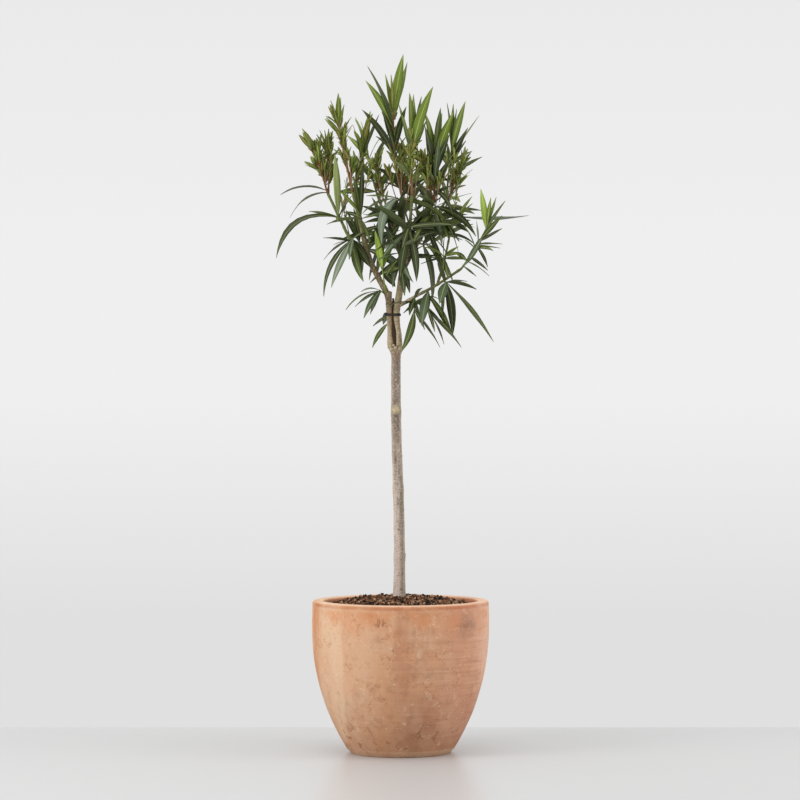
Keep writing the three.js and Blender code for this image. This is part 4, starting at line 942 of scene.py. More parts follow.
# A shoot's stem runs from its foot on a bough through its knee to its tip.
# whorls counts its rings of three seeded leaves and reach is where the lowest and the highest
# sit, as shares of the stem. length is how far a leaf reaches, spread its angle from the stem
# in degrees, sag how far it then droops and turn where the first whorl starts round the stem;
# each pair is for the lowest and the highest whorl. tints are for the low and the high leaves.
# lead holds the leaves that shape the crown's outline: share of the stem, tip, arch, twist, tint,
# and the width of an uncommonly broad or narrow one.
# twigs counts the side twigs of a budding shoot, each with a tuft of small leaves, and isSoft
# marks a shoot whose stem is still soft.
shoots = [
    {
        "name": "shoot_top", "radius": 2.6, "tints": ("deep", "grown"),
        "foot": (3, 0, 943), "knee": (-12, -3, 1000), "tip": (-12.5, -4, 1092),
        "whorls": 2, "reach": (0.12, 0.5), "length": (50, 46),
        "spread": (64, 34), "sag": (0.2, 0.05), "turn": 60, "twigs": 2,
        "lead": [
            (0.9, (5, -12, 1185), 0.04, 15, "fresh"),
            (0.93, (12, 8, 1174), 0.03, 58, "spring"),
            (0.85, (-57, 10, 1168), 0.05, 64, "grown"),
            (0.78, (-60, -16, 1140), 0.1, 40, "fresh"),
            (0.95, (-26, -14, 1151), 0.03, 45, "fresh"),
            (0.97, (-16, -20, 1150), 0.02, 55, "olive"),
            (0.6, (-31, -26, 1088), 0.06, 25, "deep"),
            (0.5, (-66, 8, 1093), 0.1, 40, "deep"),
            (0.6, (10, -14, 1096), 0.08, 20, "deep"),
            (0.55, (-42, -20, 1045), 0.1, 40, "deep"),
        ],
    },
    {
        "name": "shoot_front", "radius": 2.4, "tints": ("grown", "spring"),
        "foot": (19.5, -40, 943), "knee": (17, -46, 985), "tip": (21, -50, 1034),
        "whorls": 1, "reach": (0.35, 0.35), "length": (46, 46),
        "spread": (44, 44), "sag": (0.1, 0.1), "turn": 100, "twigs": 3,
        "lead": [
            (0.8, (55, -60, 1125), 0.08, 20, "fresh"),
            (0.95, (15, -60, 1115), 0.03, 40, "spring"),
            (0.97, (22, -46, 1114), 0.03, 45, "fresh"),
            (0.92, (36, -34, 1112), 0.05, 64, "deep"),
            (0.75, (-3, 0, 1102), 0.04, 62, "spring"),
            (0.7, (45, -30, 1072), 0.05, 58, "grown"),
        ],
    },
    {
        "name": "shoot_right_front", "radius": 2.3, "tints": ("deep", "grown"),
        "foot": (58, -6, 936), "knee": (58, -14, 972), "tip": (59, -20, 1006),
        "whorls": 2, "reach": (0.15, 0.4), "length": (48, 48),
        "spread": (56, 36), "sag": (0.2, 0.1), "turn": 80, "twigs": 2,
        "lead": [
            (0.9, (68, -26, 1093), 0.04, 35, "grown"),
            (0.95, (71, -10, 1086), 0.04, 50, "spring"),
            (0.85, (41, -32, 1084), 0.08, 40, "spring"),
            (0.8, (90, -30, 1085), 0.08, 5, "fresh"),
            (0.6, (83, -36, 1047), 0.08, 35, "deep"),
            (0.5, (41, -46, 1060), 0.06, 30, "deep"),
            (0.45, (65, -48, 1040), 0.05, 30, "teal"),
            (0.3, (84, -50, 1004), 0.1, 25, "deep"),
            (0.25, (88, -40, 908), 0.3, 40, "deep"),
        ],
    },
    {
        "name": "shoot_right_rear", "radius": 2.1, "tints": ("deep", "grown"),
        "foot": (79, 52, 939), "knee": (82, 58, 990), "tip": (89, 60, 1034),
        "whorls": 2, "reach": (0.35, 0.6), "length": (56, 54),
        "spread": (56, 36), "sag": (0.3, 0.1), "turn": 70,
        "lead": [
            (0.92, (91, 52, 1108), 0.03, 50, "spring"),
            (0.85, (112, 48, 1112), 0.06, 40, "fresh"),
            (0.9, (80, 70, 1112), 0.04, 65, "grown"),
            (0.88, (97, 60, 1100), 0.03, 62, "grown"),
            (0.65, (116, 36, 1065), 0.07, 35, "deep"),
            (0.72, (137, 76, 1090), 0.06, 84, "olive"),
            (0.6, (113, 50, 1044), 0.08, 58, "deep"),
        ],
    },
    {
        "name": "shoot_right_shoulder", "radius": 1.8, "tints": ("olive", "olive"),
        "foot": (79, 50, 937), "knee": (92, 42, 966), "tip": (103, 34, 1000),
        "turn": 0, "twigs": 4,
        "lead": [
            (0.9, (140, 30, 1014), 0.06, 40, "grown"),
            (0.96, (120, 26, 1021), 0.05, 40, "deep"),
            (0.97, (113, 38, 1023), 0.04, 35, "spring"),
            (0.8, (108, 18, 981), 0.2, 40, "olive"),
        ],
    },
    {
        "name": "shoot_left_tall", "radius": 2.5, "tints": ("olive", "spring"),
        "foot": (-80, -18, 948), "knee": (-93, -26, 1000), "tip": (-106, -32, 1072),
        "whorls": 1, "reach": (0.8, 0.8), "length": (40, 40),
        "spread": (42, 42), "sag": (0.1, 0.1), "turn": 15, "twigs": 5,
        "lead": [
            (0.95, (-105, -38, 1116), 0.03, 15, "spring", 10),
            (0.93, (-101, -28, 1110), 0.03, 45, "fresh"),
            (0.88, (-118, -40, 1104), 0.05, 58, "spring"),
            (0.9, (-95, -26, 1098), 0.05, 50, "spring"),
            (0.82, (-126, -36, 1075), 0.05, 30, "spring"),
            (0.66, (-91, -20, 1066), 0.08, 20, "olive"),
        ],
    },
    {
        "name": "shoot_left_behind", "radius": 2.1, "tints": ("olive", "spring"),
        "foot": (-80, -16, 948), "knee": (-72, -4, 985), "tip": (-64, 6, 1018),
        "turn": 0, "twigs": 3,
        "lead": [
            (0.9, (-47, 2, 1086), 0.12, 15, "olive"),
            (0.94, (-64, -6, 1058), 0.03, 30, "spring"),
            (0.85, (-36, 18, 1086), 0.05, 68, "grown"),
            (0.8, (-81, 16, 1068), 0.05, 74, "deep"),
            (0.85, (-70, -10, 1042), 0.03, 20, "spring"),
        ],
    },
    {
        "name": "shoot_left_outer", "radius": 1.9, "tints": ("olive", "olive"),
        "foot": (-123, -4, 946), "knee": (-134, -8, 985), "tip": (-144, -14, 1018),
        "turn": 0, "twigs": 5,
        "lead": [
            (0.95, (-167, -18, 1058), 0.08, 20, "olive"),
            (0.97, (-157, -8, 1050), 0.04, 50, "spring"),
            (0.5, (-163, -6, 998), 0.04, 78, "olive"),
            (0.1, (-204, -30, 944), 0.24, 70, "deep"),
            (0.06, (-189, 14, 907), 0.32, 74, "deep"),
        ],
    },
    {
        "name": "shoot_left_cluster", "radius": 1.8, "tints": ("olive", "olive"),
        "foot": (-122, -4, 944), "knee": (-122, 2, 985), "tip": (-124, 8, 1024),
        "turn": 30, "twigs": 4,
        "lead": [
            (0.96, (-122, 4, 1060), 0.03, 30, "olive"),
            (0.97, (-115, 14, 1058), 0.03, 40, "deep"),
            (0.95, (-129, -2, 1057), 0.03, 45, "spring"),
            (0.9, (-138, 6, 1058), 0.05, 50, "olive"),
            (0.85, (-143, 2, 1050), 0.06, 40, "spring"),
        ],
    },
    {
        "name": "buds_centre", "radius": 1.8, "tints": ("olive", "spring"),
        "foot": (4, 1, 943), "knee": (9, 14, 980), "tip": (6, 26, 1022),
        "whorls": 1, "reach": (0.97, 0.97), "length": (30, 30),
        "spread": (22, 22), "sag": (0.1, 0.1), "turn": 0, "twigs": 5,
    },
    {
        "name": "buds_right", "radius": 1.7, "tints": ("olive", "spring"),
        "foot": (57, -4, 935), "knee": (46, -22, 965), "tip": (40, -30, 1000),
        "whorls": 1, "reach": (0.97, 0.97), "length": (28, 28),
        "spread": (24, 24), "sag": (0.1, 0.1), "turn": 45, "twigs": 5,
    },
    {
        "name": "shoot_rear_small", "radius": 1.8, "tints": ("olive", "spring"),
        "foot": (-34, 66, 933), "knee": (-38, 74, 965), "tip": (-42, 80, 996),
        "whorls": 1, "reach": (0.97, 0.97), "length": (34, 34),
        "spread": (26, 26), "sag": (0.1, 0.1), "turn": 20, "twigs": 3,
    },
    {
        "name": "shoot_rear_left", "radius": 2.2, "tints": ("grown", "fresh"),
        "foot": (-33, 66, 931), "knee": (-52, 92, 985), "tip": (-58, 104, 1036),
        "whorls": 5, "reach": (0.25, 0.97), "length": (74, 66),
        "spread": (76, 16), "sag": (0.3, 0.05), "turn": 85,
    },
    {
        "name": "shoot_rear_mid", "radius": 2.3, "tints": ("deep", "fresh"),
        "foot": (35, 33, 876), "knee": (26, 80, 935), "tip": (18, 104, 1008),
        "whorls": 6, "reach": (0.25, 0.97), "length": (96, 80),
        "spread": (86, 16), "sag": (0.4, 0.05), "turn": 0,
    },
    {
        "name": "shoot_rear_right", "radius": 2.1, "tints": ("grown", "fresh"),
        "foot": (60, 45, 913), "knee": (84, 92, 930), "tip": (92, 116, 966),
        "whorls": 4, "reach": (0.3, 0.97), "length": (70, 62),
        "spread": (80, 18), "sag": (0.4, 0.05), "turn": 60,
    },
    {
        "name": "shoot_side_tip", "radius": 1.9, "tints": ("grown", "grown"),
        "foot": (102, -28, 819), "knee": (128, -36, 852), "tip": (147, -44, 892),
        "whorls": 2, "reach": (0.2, 0.5), "length": (50, 48),
        "spread": (76, 66), "sag": (0.2, 0.1), "turn": 20,
        "lead": [
            (0.93, (135, -48, 954), 0.03, 10, "lime"),
            (0.97, (152, -54, 939), 0.03, 25, "fresh"),
            (0.98, (162, -36, 941), 0.03, 52, "spring"),
            (0.9, (177, -46, 934), 0.04, 58, "grown"),
            (0.7, (171, -60, 908), 0.04, 15, "grown"),
            (0.66, (172, -30, 888), 0.04, 45, "deep"),
            (0.6, (172, -54, 860), 0.06, 68, "grown"),
            (0.58, (169, -36, 854), 0.04, 74, "grown"),
            (0.55, (147, -38, 822), 0.12, 35, "deep"),
            (0.3, (147, -62, 815), 0.08, 50, "deep"),
            (0.75, (106, -62, 822), -0.06, 15, "teal"),
            (0.08, (128, -44, 806), 0.06, 50, "deep"),
            (0.5, (108, -60, 867), 0.06, 58, "grown"),
            (0.62, (129, -16, 902), 0.03, 62, "silver"),
        ],
    },
    {
        "name": "shoot_side_riser", "radius": 1.6, "tints": ("deep", "grown"),
        "foot": (84, 14, 877), "knee": (90, 22, 897), "tip": (97, 26, 916),
        "whorls": 2, "reach": (0.1, 0.45), "length": (46, 42),
        "spread": (84, 60), "sag": (0.1, 0.1), "turn": 95,
        "lead": [
            (0.9, (220, 4, 912), -0.05, 76, "silver"),
            (0.8, (123, 34, 947), 0.03, 52, "spring"),
            (0.75, (123, 8, 933), 0.03, 55, "spring"),
            (0.6, (113, -14, 885), 0.1, 30, "deep"),
            (0.5, (116, 46, 886), 0.1, 40, "deep"),
            (0.3, (90, -4, 914), 0.05, 20, "fresh"),
            (0.5, (103, -8, 902), 0.05, 20, "spring"),
        ],
    },
    {
        "name": "shoot_sucker", "radius": 1.5, "tints": ("spring", "lime"), "isSoft": True,
        "foot": (-25, -3, 780), "knee": (-29, -14, 806), "tip": (-31, -18, 824),
        "lead": [
            (0.9, (-43, -30, 884), 0.04, 5, "lime", 13),
            # a leaf behind the fork, tinted deep as painted shade for the shadow it hangs in
            (0.8, (-9, 2, 790), 0.1, 15, "deep", 14),
            (0.7, (2, -30, 822), 0.08, 30, "grown", 12),
            (0.75, (-45, -8, 898), 0.03, 25, "grown"),
            (0.85, (-5, -36, 880), 0.05, 55, "spring"),
        ],
    },
    {
        "name": "spray_left_arch", "radius": 1.6, "tints": ("grown", "grown"),
        "foot": (-99, 4, 899), "knee": (-104, -3, 904), "tip": (-106, -9, 911),
        "whorls": 1, "reach": (0.8, 0.8), "length": (48, 48),
        "spread": (60, 60), "sag": (0.1, 0.1), "turn": 290,
        "lead": [
            (0.95, (-111, -22, 1016), 0.03, 35, "pale", 15),
            (0.75, (-210, -34, 836), 0.5, 52, "deep"),
        ],
    },
    {
        "name": "spray_left_low", "radius": 1.6, "tints": ("deep", "deep"),
        "foot": (-84, 7, 871), "knee": (-84, -3, 873), "tip": (-80, -13, 870),
        "whorls": 1, "reach": (0.7, 0.7), "length": (70, 70),
        "spread": (86, 86), "sag": (0.6, 0.6), "turn": 60,
        "lead": [
            (0.8, (-130, -16, 772), 0.24, 40, "deep", 11),
            (0.9, (-117, -46, 786), 0.08, 22, "silver", 12),
            (0.5, (-50, -10, 822), 0.04, 25, "deep", 17),
            (0.7, (-62, -38, 797), -0.14, 10, "grown"),
            (0.95, (-86, -58, 833), 0.1, 20, "teal"),
        ],
    },
    {
        "name": "spray_left_inner", "radius": 1.7, "tints": ("grown", "deep"),
        "foot": (-67, -10, 899), "knee": (-67, -17, 905), "tip": (-67, -23, 912),
        "whorls": 1, "reach": (0.5, 0.5), "length": (72, 72),
        "spread": (70, 70), "sag": (0.3, 0.3), "turn": 150,
        "lead": [
            (0.95, (-64, -30, 997), 0.05, 50, "deep"),
            (0.85, (-103, -34, 951), 0.06, 48, "spring"),
            (0.7, (-80, -30, 978), 0.04, 25, "grown"),
            (0.6, (-98, 8, 918), 0.1, 10, "deep"),
        ],
    },
    {
        "name": "spray_left_mid", "radius": 1.6, "tints": ("deep", "grown"),
        "foot": (-57, -3, 853), "knee": (-66, 6, 860), "tip": (-71, 14, 868),
        "whorls": 2, "reach": (0.6, 0.95), "length": (88, 74),
        "spread": (82, 40), "sag": (0.3, 0.2), "turn": 90,
        "lead": [
            (0.8, (-97, 18, 914), 0.08, 10, "deep"),
            (0.9, (-80, 26, 926), 0.05, 20, "grown"),
            (0.1, (22, -26, 796), 0.2, 20, "teal", 15),
        ],
    },
    {
        "name": "spray_centre", "radius": 1.7, "tints": ("deep", "grown"),
        "foot": (3, 0, 934), "knee": (-3, -10, 937), "tip": (-6, -17, 941),
        "whorls": 1, "reach": (0.6, 0.6), "length": (84, 84),
        "spread": (92, 92), "sag": (0.2, 0.2), "turn": 75,
        "lead": [
            (0.9, (-59, -16, 944), 0.06, 64, "grown"),
            (0.85, (-31, -46, 858), 0.42, -8, "silver", 16.5),
            (0.75, (99, -70, 833), 0.4, 76, "grown"),
            (0.8, (-65, -40, 912), 0.2, 64, "deep"),
        ],
    },
    {
        "name": "spray_centre_mid", "radius": 1.6, "tints": ("deep", "grown"),
        "foot": (6, -2, 893), "knee": (2, 8, 897), "tip": (-1, 15, 902),
        "whorls": 2, "reach": (0.6, 0.95), "length": (88, 80),
        "spread": (96, 72), "sag": (0.2, 0.2), "turn": 10,
        "lead": [
            (0.7, (-63, -24, 897), 0.16, 48, "deep"),
            (0.8, (-26, -16, 853), 0.1, 10, "grown"),
        ],
    },
    {
        # both tints are deep as painted shade, darkening leaves that face up into the top light
        "name": "spray_front", "radius": 1.6, "tints": ("deep", "deep"),
        "foot": (15, -20, 880), "knee": (14, -30, 884), "tip": (14, -38, 890),
        "whorls": 3, "reach": (0.4, 0.95), "length": (94, 80),
        "spread": (100, 64), "sag": (0.3, 0.2), "turn": 15,
        "lead": [
            (0.6, (27, -36, 797), 0.1, 15, "deep"),
            (0.5, (-30, -52, 838), 0.1, 20, "teal"),
        ],
    },
    {
        "name": "spray_centre_low", "radius": 1.7, "tints": ("deep", "teal"),
        "foot": (4, -4, 826), "knee": (-1, -16, 836), "tip": (-4, -24, 848),
        "whorls": 2, "reach": (0.5, 0.95), "length": (90, 84),
        "spread": (96, 56), "sag": (0.3, 0.2), "turn": 50,
        "lead": [
            (0.8, (18, -62, 798), -0.05, 10, "teal"),
            (0.3, (16, -2, 779), 0.06, 20, "deep", 12),
            (0.7, (-13, -18, 788), 0.08, 30, "deep", 14),
            (0.6, (-24, -28, 808), 0.1, 15, "grown"),
            (0.9, (-16, -56, 870), 0.1, 40, "grown"),
        ],
    },
    {
        "name": "spray_right_mid", "radius": 1.7, "tints": ("deep", "grown"),
        "foot": (49, -3, 920), "knee": (56, -14, 922), "tip": (60, -21, 926),
        "whorls": 2, "reach": (0.5, 0.9), "length": (84, 76),
        "spread": (100, 62), "sag": (0.3, 0.2), "turn": 95,
        "lead": [
            (0.8, (79, -34, 874), 0.12, 10, "deep"),
            (0.85, (70, -52, 857), 0.1, 25, "teal"),
            (0.7, (22, -56, 864), 0.06, 15, "grown"),
            (0.95, (128, -34, 873), 0.25, 35, "deep"),
        ],
    },
    {
        "name": "spray_right_low", "radius": 1.6, "tints": ("deep", "grown"),
        "foot": (32, 4, 884), "knee": (42, 12, 884), "tip": (49, 18, 888),
        "whorls": 2, "reach": (0.55, 0.95), "length": (90, 76),
        "spread": (98, 62), "sag": (0.3, 0.2), "turn": 35,
        "lead": [
            (0.9, (76, -6, 800), 0.1, 58, "deep"),
        ],
    },
    {
        "name": "spray_side_riser", "radius": 1.5, "tints": ("grown", "spring"),
        "foot": (74, -6, 832), "knee": (73, -13, 836), "tip": (73, -19, 842),
        "whorls": 2, "reach": (0.6, 0.95), "length": (42, 46),
        "spread": (92, 60), "sag": (0.1, 0), "turn": 20,
        "lead": [
            (0.6, (34, -24, 838), 0.08, 66, "grown"),
            (0.7, (34, -2, 829), 0.06, 62, "deep"),
            (0.8, (98, -34, 857), 0.08, 20, "spring"),
            (0.9, (72, -30, 808), 0.05, 58, "grown"),
        ],
    },
    {
        "name": "spray_side_low", "radius": 1.6, "tints": ("deep", "teal"),
        "foot": (72, -24, 799), "knee": (76, -32, 797), "tip": (78, -38, 796),
        "whorls": 1, "reach": (0.5, 0.5), "length": (58, 58),
        "spread": (84, 84), "sag": (0.4, 0.4), "turn": 0,
        "lead": [
            (0.8, (65, -104, 758), 0.06, 5, "teal", 17),
            (0.7, (88, -28, 706), 0.1, 5, "deep", 15),
            (0.95, (157, -60, 694), 0.09, 68, "grown"),
            (0.9, (113, -52, 797), 0.15, 62, "deep"),
        ],
    },
    {
        "name": "spray_side_mid", "radius": 1.5, "tints": ("deep", "teal"),
        "foot": (47, -19, 785), "knee": (47, -31, 780), "tip": (46, -34, 746),
        "whorls": 1, "reach": (0.5, 0.5), "length": (50, 50),
        "spread": (84, 84), "sag": (0.4, 0.4), "turn": 40,
        "lead": [
            (0.2, (35, -76, 722), 0.08, 5, "teal", 17),
            (0.95, (74, -16, 691), 0.12, 74, "deep"),
            (0.97, (103, -52, 685), 0.12, 66, "grown"),
            (0.4, (88, -50, 704), 0.1, 45, "grown"),
            (0.9, (58, -56, 712), 0.06, 40, "deep"),
        ],
    },
    {
        "name": "spray_fork_right", "radius": 1.5, "tints": ("deep", "teal"),
        "foot": (24, -13, 773), "knee": (24, -26, 768), "tip": (23, -29, 747),
        "whorls": 1, "reach": (0.5, 0.5), "length": (56, 56),
        "spread": (76, 76), "sag": (0.5, 0.5), "turn": 30,
        "lead": [
            (0.95, (1, -34, 679), -0.12, 5, "grown", 13),
            (0.97, (67, -40, 685), 0.12, 74, "deep"),
            (0.3, (38, -50, 786), 0.35, 30, "deep"),
            (0.15, (15, -54, 740), 0.08, 20, "deep", 11),
            (0.4, (2, -44, 756), 0.1, 50, "deep"),
            (0.9, (41, -44, 716), 0.08, 35, "deep"),
        ],
    },
    {
        "name": "spray_fork_left", "radius": 1.5, "tints": ("deep", "deep"),
        "foot": (-24, 0, 777), "knee": (-31, -5, 781), "tip": (-36, -10, 785),
        "lead": [
            (0.8, (-93, -34, 749), 0.25, 74, "grown"),
            (0.9, (-67, -44, 780), 0.2, 64, "silver"),
            (0.75, (-78, 4, 756), 0.12, 55, "deep"),
            (0.85, (-62, -38, 735), 0.1, 20, "teal"),
            (0.7, (-52, 34, 744), 0.1, 40, "deep"),
        ],
    },
    {
        "name": "spray_fork_rear", "radius": 1.5, "tints": ("deep", "deep"),
        "foot": (-19.5, 2, 752), "knee": (-22, 17, 750), "tip": (-22, 17, 726),
        "lead": [
            (0.6, (-47, 22, 724), 0.08, 15, "deep"),
            (0.95, (-48, 24, 687), 0.12, 10, "grown"),
            (0.8, (2, 60, 690), 0.12, 30, "deep"),
            (0.5, (-30, 78, 728), 0.12, 20, "deep"),
        ],
    },
    {
        "name": "spray_rear_left_low", "radius": 1.7, "tints": ("deep", "grown"),
        "foot": (-12, 34, 884), "knee": (-22, 46, 884), "tip": (-30, 56, 886),
        "whorls": 3, "reach": (0.35, 0.95), "length": (100, 80),
        "spread": (100, 56), "sag": (0.4, 0.2), "turn": 10,
    },
    {
        "name": "spray_rear_right_low", "radius": 1.7, "tints": ("deep", "grown"),
        "foot": (30, 28, 866), "knee": (42, 44, 864), "tip": (50, 56, 866),
        "whorls": 3, "reach": (0.35, 0.95), "length": (100, 80),
        "spread": (100, 56), "sag": (0.4, 0.2), "turn": 85,
    },
]

leaf = {
    "widthShare": 0.165,
    "mostWidth": 18,
    "inner": 0.55,  # where the inner blade ends, in half widths
    "ribTaper": 0.6,
    "ribShare": 0.4,  # the most of a half width that the midrib takes
    "ribUnder": 1.3,  # how much wider the midrib is on the underside
    "waves": 9,
    "petioleHalf": 0.9,
    "petioleShare": 0.035,  # of the length, on a short leaf
    "arch": 0.1,
    "twist": 65,
    "tries": 7,
    "tryTurn": 15,
    "clear": 3.5,  # room kept between the middles of two shoots' blades
    "fold": 0.34,  # how far the blade's halves rise from its midrib, against their width
    "recurve": 0.2,  # how far its margins then roll back
    "wave": 0.07,
    "curl": 16,  # degrees that it turns from root to tip
    "thick": 0.5,
    "ribHalf": 0.8,
    "ribRise": 0.35,
    "stations": (0, 0.05, 0.12, 0.22, 0.34, 0.46, 0.58, 0.7, 0.81, 0.9, 0.965),
}
# How far a whorl's leaves differ: turn in degrees, the others as shares of the shoot's values.
variety = {
    "turn": 22,
    "spread": (0.8, 1.2),
    "sag": (0.6, 1.4),
    "length": (0.8, 1.12),
    "width": (0.9, 1.15),
    "arch": (0.3, 1.7),
    "curl": (-1, 1),
    "fold": (0.5, 1.3),
    "tintFrom": (0.3, 0.7),  # where up the whorls the second tint begins
}
budLeaf = {
    "length": (17, 31),
    "widthShare": 0.25,
    "spread": (12, 38),
    "arch": 0.05,
    "thickShare": 0.8,
    "stations": (0, 0.16, 0.4, 0.66, 0.88),
}
sideTwig = {
    "between": (0.2, 0.94),  # shares of the stem that they grow from
    "turn": 137.5,  # degrees from one to the next
    "sway": 15,
    "length": (14, 26),
    "spread": (20, 42),
    "lift": 0.4,
    "half": 1.0,
    "tipLeaf": (18, 30),
    "leafPlaces": (0.95, 0.65, 0.53, 0.41),
    "leafTurn": 180,
    "leafSway": 180,
    "lowTurn": 70,  # how far the two lowest leaves stand off the others' plane
}
fineTwig = {
    "perTwig": 2,  # finer twigs for each side twig
    "between": (0.15, 0.99),
    "turn": 99.5,
    "sway": 20,
    "length": (5, 15),
    "spread": (14, 42),
    "half": 0.7,
    "leaves": 5,
    "leafStep": 0.18,
    "leafTurn": 120,
    "leafSway": 60,
    "leafLength": (11, 24),
    "leafSpread": (8, 38),
    "bracts": 3,
    "bractLength": (4, 8),
    "bractsFrom": (0.1, 0.9),
    "bractTurn": 137,
    "bractSway": 90,
    "bractSpread": (20, 60),
    "bractWidth": 2.2,
}
# What is left of each kind's thickness at its tip, and the rings and sides of its tube.
stemTaper, twigTaper, stalkTaper = 0.62, 0.6, 0.7
stemRings, twigRings, stalkRings = (16, 8), (3, 5), (5, 6)
uplift = point(0, 0, 0.4)  # how much the smallest leaves reach for the light
# Bare stalks between the shoots, each with a tuft of small leaves: foot, tip and radius.
stalks = [
    ((2, -14, 946), (1, -30, 1004), 1.0), ((10, -30, 930), (19, -52, 984), 1.1),
    ((24, -34, 940), (30, -44, 1012), 1.0), ((36, 0, 900), (46, -38, 976), 1.0),
    ((60, -12, 930), (66, -34, 968), 1.1), ((66, -10, 934), (80, -24, 1002), 0.9),
    ((78, 40, 930), (92, 20, 1006), 1.0), ((-4, 8, 930), (-22, -14, 986), 1.0),
    ((-12, 34, 884), (-38, 4, 972), 1.1), ((84, 20, 886), (98, 30, 962), 1.0),
    ((-70, -14, 920), (-52, -24, 984), 1.0), ((4, 0, 940), (-14, -36, 1010), 0.9),
    ((36, 34, 876), (52, 64, 960), 1.1), ((-34, 66, 930), (-20, 84, 990), 1.0),
    ((-86, 8, 874), (-100, 40, 936), 1.0), ((-101, 4, 903), (-92, 34, 966), 0.9),
    ((60, 60, 925), (66, 96, 980), 1.0), ((10, 40, 920), (4, 70, 984), 1.0),
    ((-81, -20, 952), (-88, -30, 1012), 1.3), ((-84, -16, 958), (-98, -20, 1030), 1.2),
    ((-126, -5, 956), (-131, -14, 1006), 1.0), ((-124, -2, 952), (-117, -10, 1008), 1.0),
]
stalkTuft = {
    "leaves": 7,
    "length": (13, 26),
    "spread": (12, 46),
    "from": 0.55,
    "turn": 137.5,
    "sway": 60,
}

# A leaf is leathery: waxy and dark above, dull grey-green below, with a pale straight midrib.
# Young ones are yellower and softer. Each tint is the blade above, the same by the midrib,
# the midrib and the blade below.
tints = {
    "lime": ("#8ca63a", "#9db748", "#c2d07c", "#98aa52"),
    "fresh": ("#667a22", "#728732", "#b3be70", "#7c8c40"),
    "spring": ("#5e6f1f", "#687927", "#95a157", "#737f3e"),
    "olive": ("#6f702a", "#7a7a36", "#aba864", "#82803f"),
    "grown": ("#485524", "#505d29", "#8a955a", "#697344"),
    "deep": ("#343c1c", "#3c4521", "#7b8659", "#4b5432"),
    "teal": ("#4a573a", "#525f40", "#8a9672", "#727c5a"),
    # pale and silver are partly painted sheen, leaves painted paler and greyer for the softbox light on
    # their waxy faces, and partly the grey-green of an underside
    "pale": ("#98aa60", "#a4b46c", "#c2ca9a", "#9ea67c"),
    "silver": ("#6d7963", "#78846d", "#9fa98b", "#828d74"),
}
budTints = ["olive", "spring", "fresh"]
oldTints = ["deep", "teal", "grown", "silver", "pale"]
youngTints = ["spring", "fresh", "lime", "olive"]
waxyFinish = (0.48, 0.28)  # roughness and gloss
dryFinish = (0.65, 0.2)
wood = {
    "green": "#5f6f38",
    "soft": "#7f9138",
    "bud": "#77522f",
    "bract": "#7a4f30",
    "stalk": "#96765a",
}


# The half width of a blade along its length, against its greatest. A bud's leaf is blunter.
def leafOutline(t, isSmall):
    if isSmall:
        return math.sin(math.pi * t**0.9) ** 0.6
    return math.sin(math.pi * t**0.85) ** 0.9


# The corners across a blade, from its left margin over the top and back below: how far each is
# from the midrib, in half widths, and how far it lies under the top.
def acrossLeaf(rib, t, isSmall):
    thick = leaf["thick"]
    if isSmall:
        return [(-1, 0), (-0.2, 0), (0.2, 0), (1, 0), (0, budLeaf["thickShare"] * thick)]
    inner, under = leaf["inner"], leaf["ribUnder"] * rib
    deep = thick + leaf["ribRise"] * (1 - t)
    top = [(-1, 0), (-inner, 0), (-rib, 0), (rib, 0), (inner, 0), (1, 0)]
    return top + [(inner, thick), (under, deep), (-under, deep), (-inner, thick)]


# One leaf as a closed blade with a raised midrib, added to the skin of its kind.
# Its finishes are numbered from first: blade, inner blade, midrib and underside.
def addLeaf(skin, spec, first):
    root, tip = spec["root"], spec["tip"]
    chord = tip - root
    length = np.linalg.norm(chord)
    rise = unit(point(0, 0, 1) - chord * chord[2] / length**2)
    bow = (root + tip) / 2 + rise * spec["arch"] * length
    # a leaf of the outline turns its face to the front, the others theirs to the sky
    across = np.cross(chord, point(0, 1, 0) if spec.get("isLead") else point(0, 0, -1))
    if np.linalg.norm(across) < 1e-3:
        across = point(0, 1, 0)
    isSmall = spec.get("isSmall", False)
    stations = budLeaf["stations"] if isSmall else leaf["stations"]
    corners = []
    for t in stations:
        heading = unit(2 * (1 - t) * (bow - root) + 2 * t * (tip - bow))
        side = unit(across - heading * (across @ heading))
        side = rotated(side, heading, spec["twist"] + spec["curl"] * (t - 0.5))
        face = np.cross(heading, side)
        middle = alongBow(root, bow, tip, t)
        half = 0.5 * spec["width"] * leafOutline(t, isSmall)
        half = max(half, min(leaf["petioleHalf"], length * leaf["petioleShare"]))
        rib = min(leaf["ribHalf"] * (1 - leaf["ribTaper"] * t), half * leaf["ribShare"])
        fold = spec["fold"] * half
        recurve = leaf["recurve"] * half
        sway = leaf["wave"] * half * math.sin(leaf["waves"] * t + spec["phase"])
        for u, drop in acrossLeaf(rib / half, t, isSmall):
            lift = fold * abs(u) - recurve * u * u + sway * u
            corners.append(middle + side * (u * half) + face * (lift - drop))
    finishes = (0, 2, 0, 3, 3) if isSmall else (0, 1, 2, 1, 0, 3, 3, 3, 3, 3)
    sides = len(finishes)
    rings = len(stations)
    faces = ringFaces(rings, sides)[:-1]
    finish = [first + finishes[k] for _ in range(rings - 1) for k in range(sides)] + [first + 3]
    last = (rings - 1) * sides
    corners.append(tip)
    for k in range(sides):
        faces.append((last + k, last + (k + 1) % sides, rings * sides))
        finish.append(first + finishes[k])
    skin.add(corners, faces, finish)


def onStem(shoot, t):
    return alongBow(point(*shoot["foot"]), point(*shoot["knee"]), point(*shoot["tip"]), t)


def stemHeading(shoot, t):
    return unit(onStem(shoot, min(t + 0.02, 1)) - onStem(shoot, max(t - 0.02, 0)))


def widthOf(length, share):
    return min(length * share, leaf["mostWidth"])


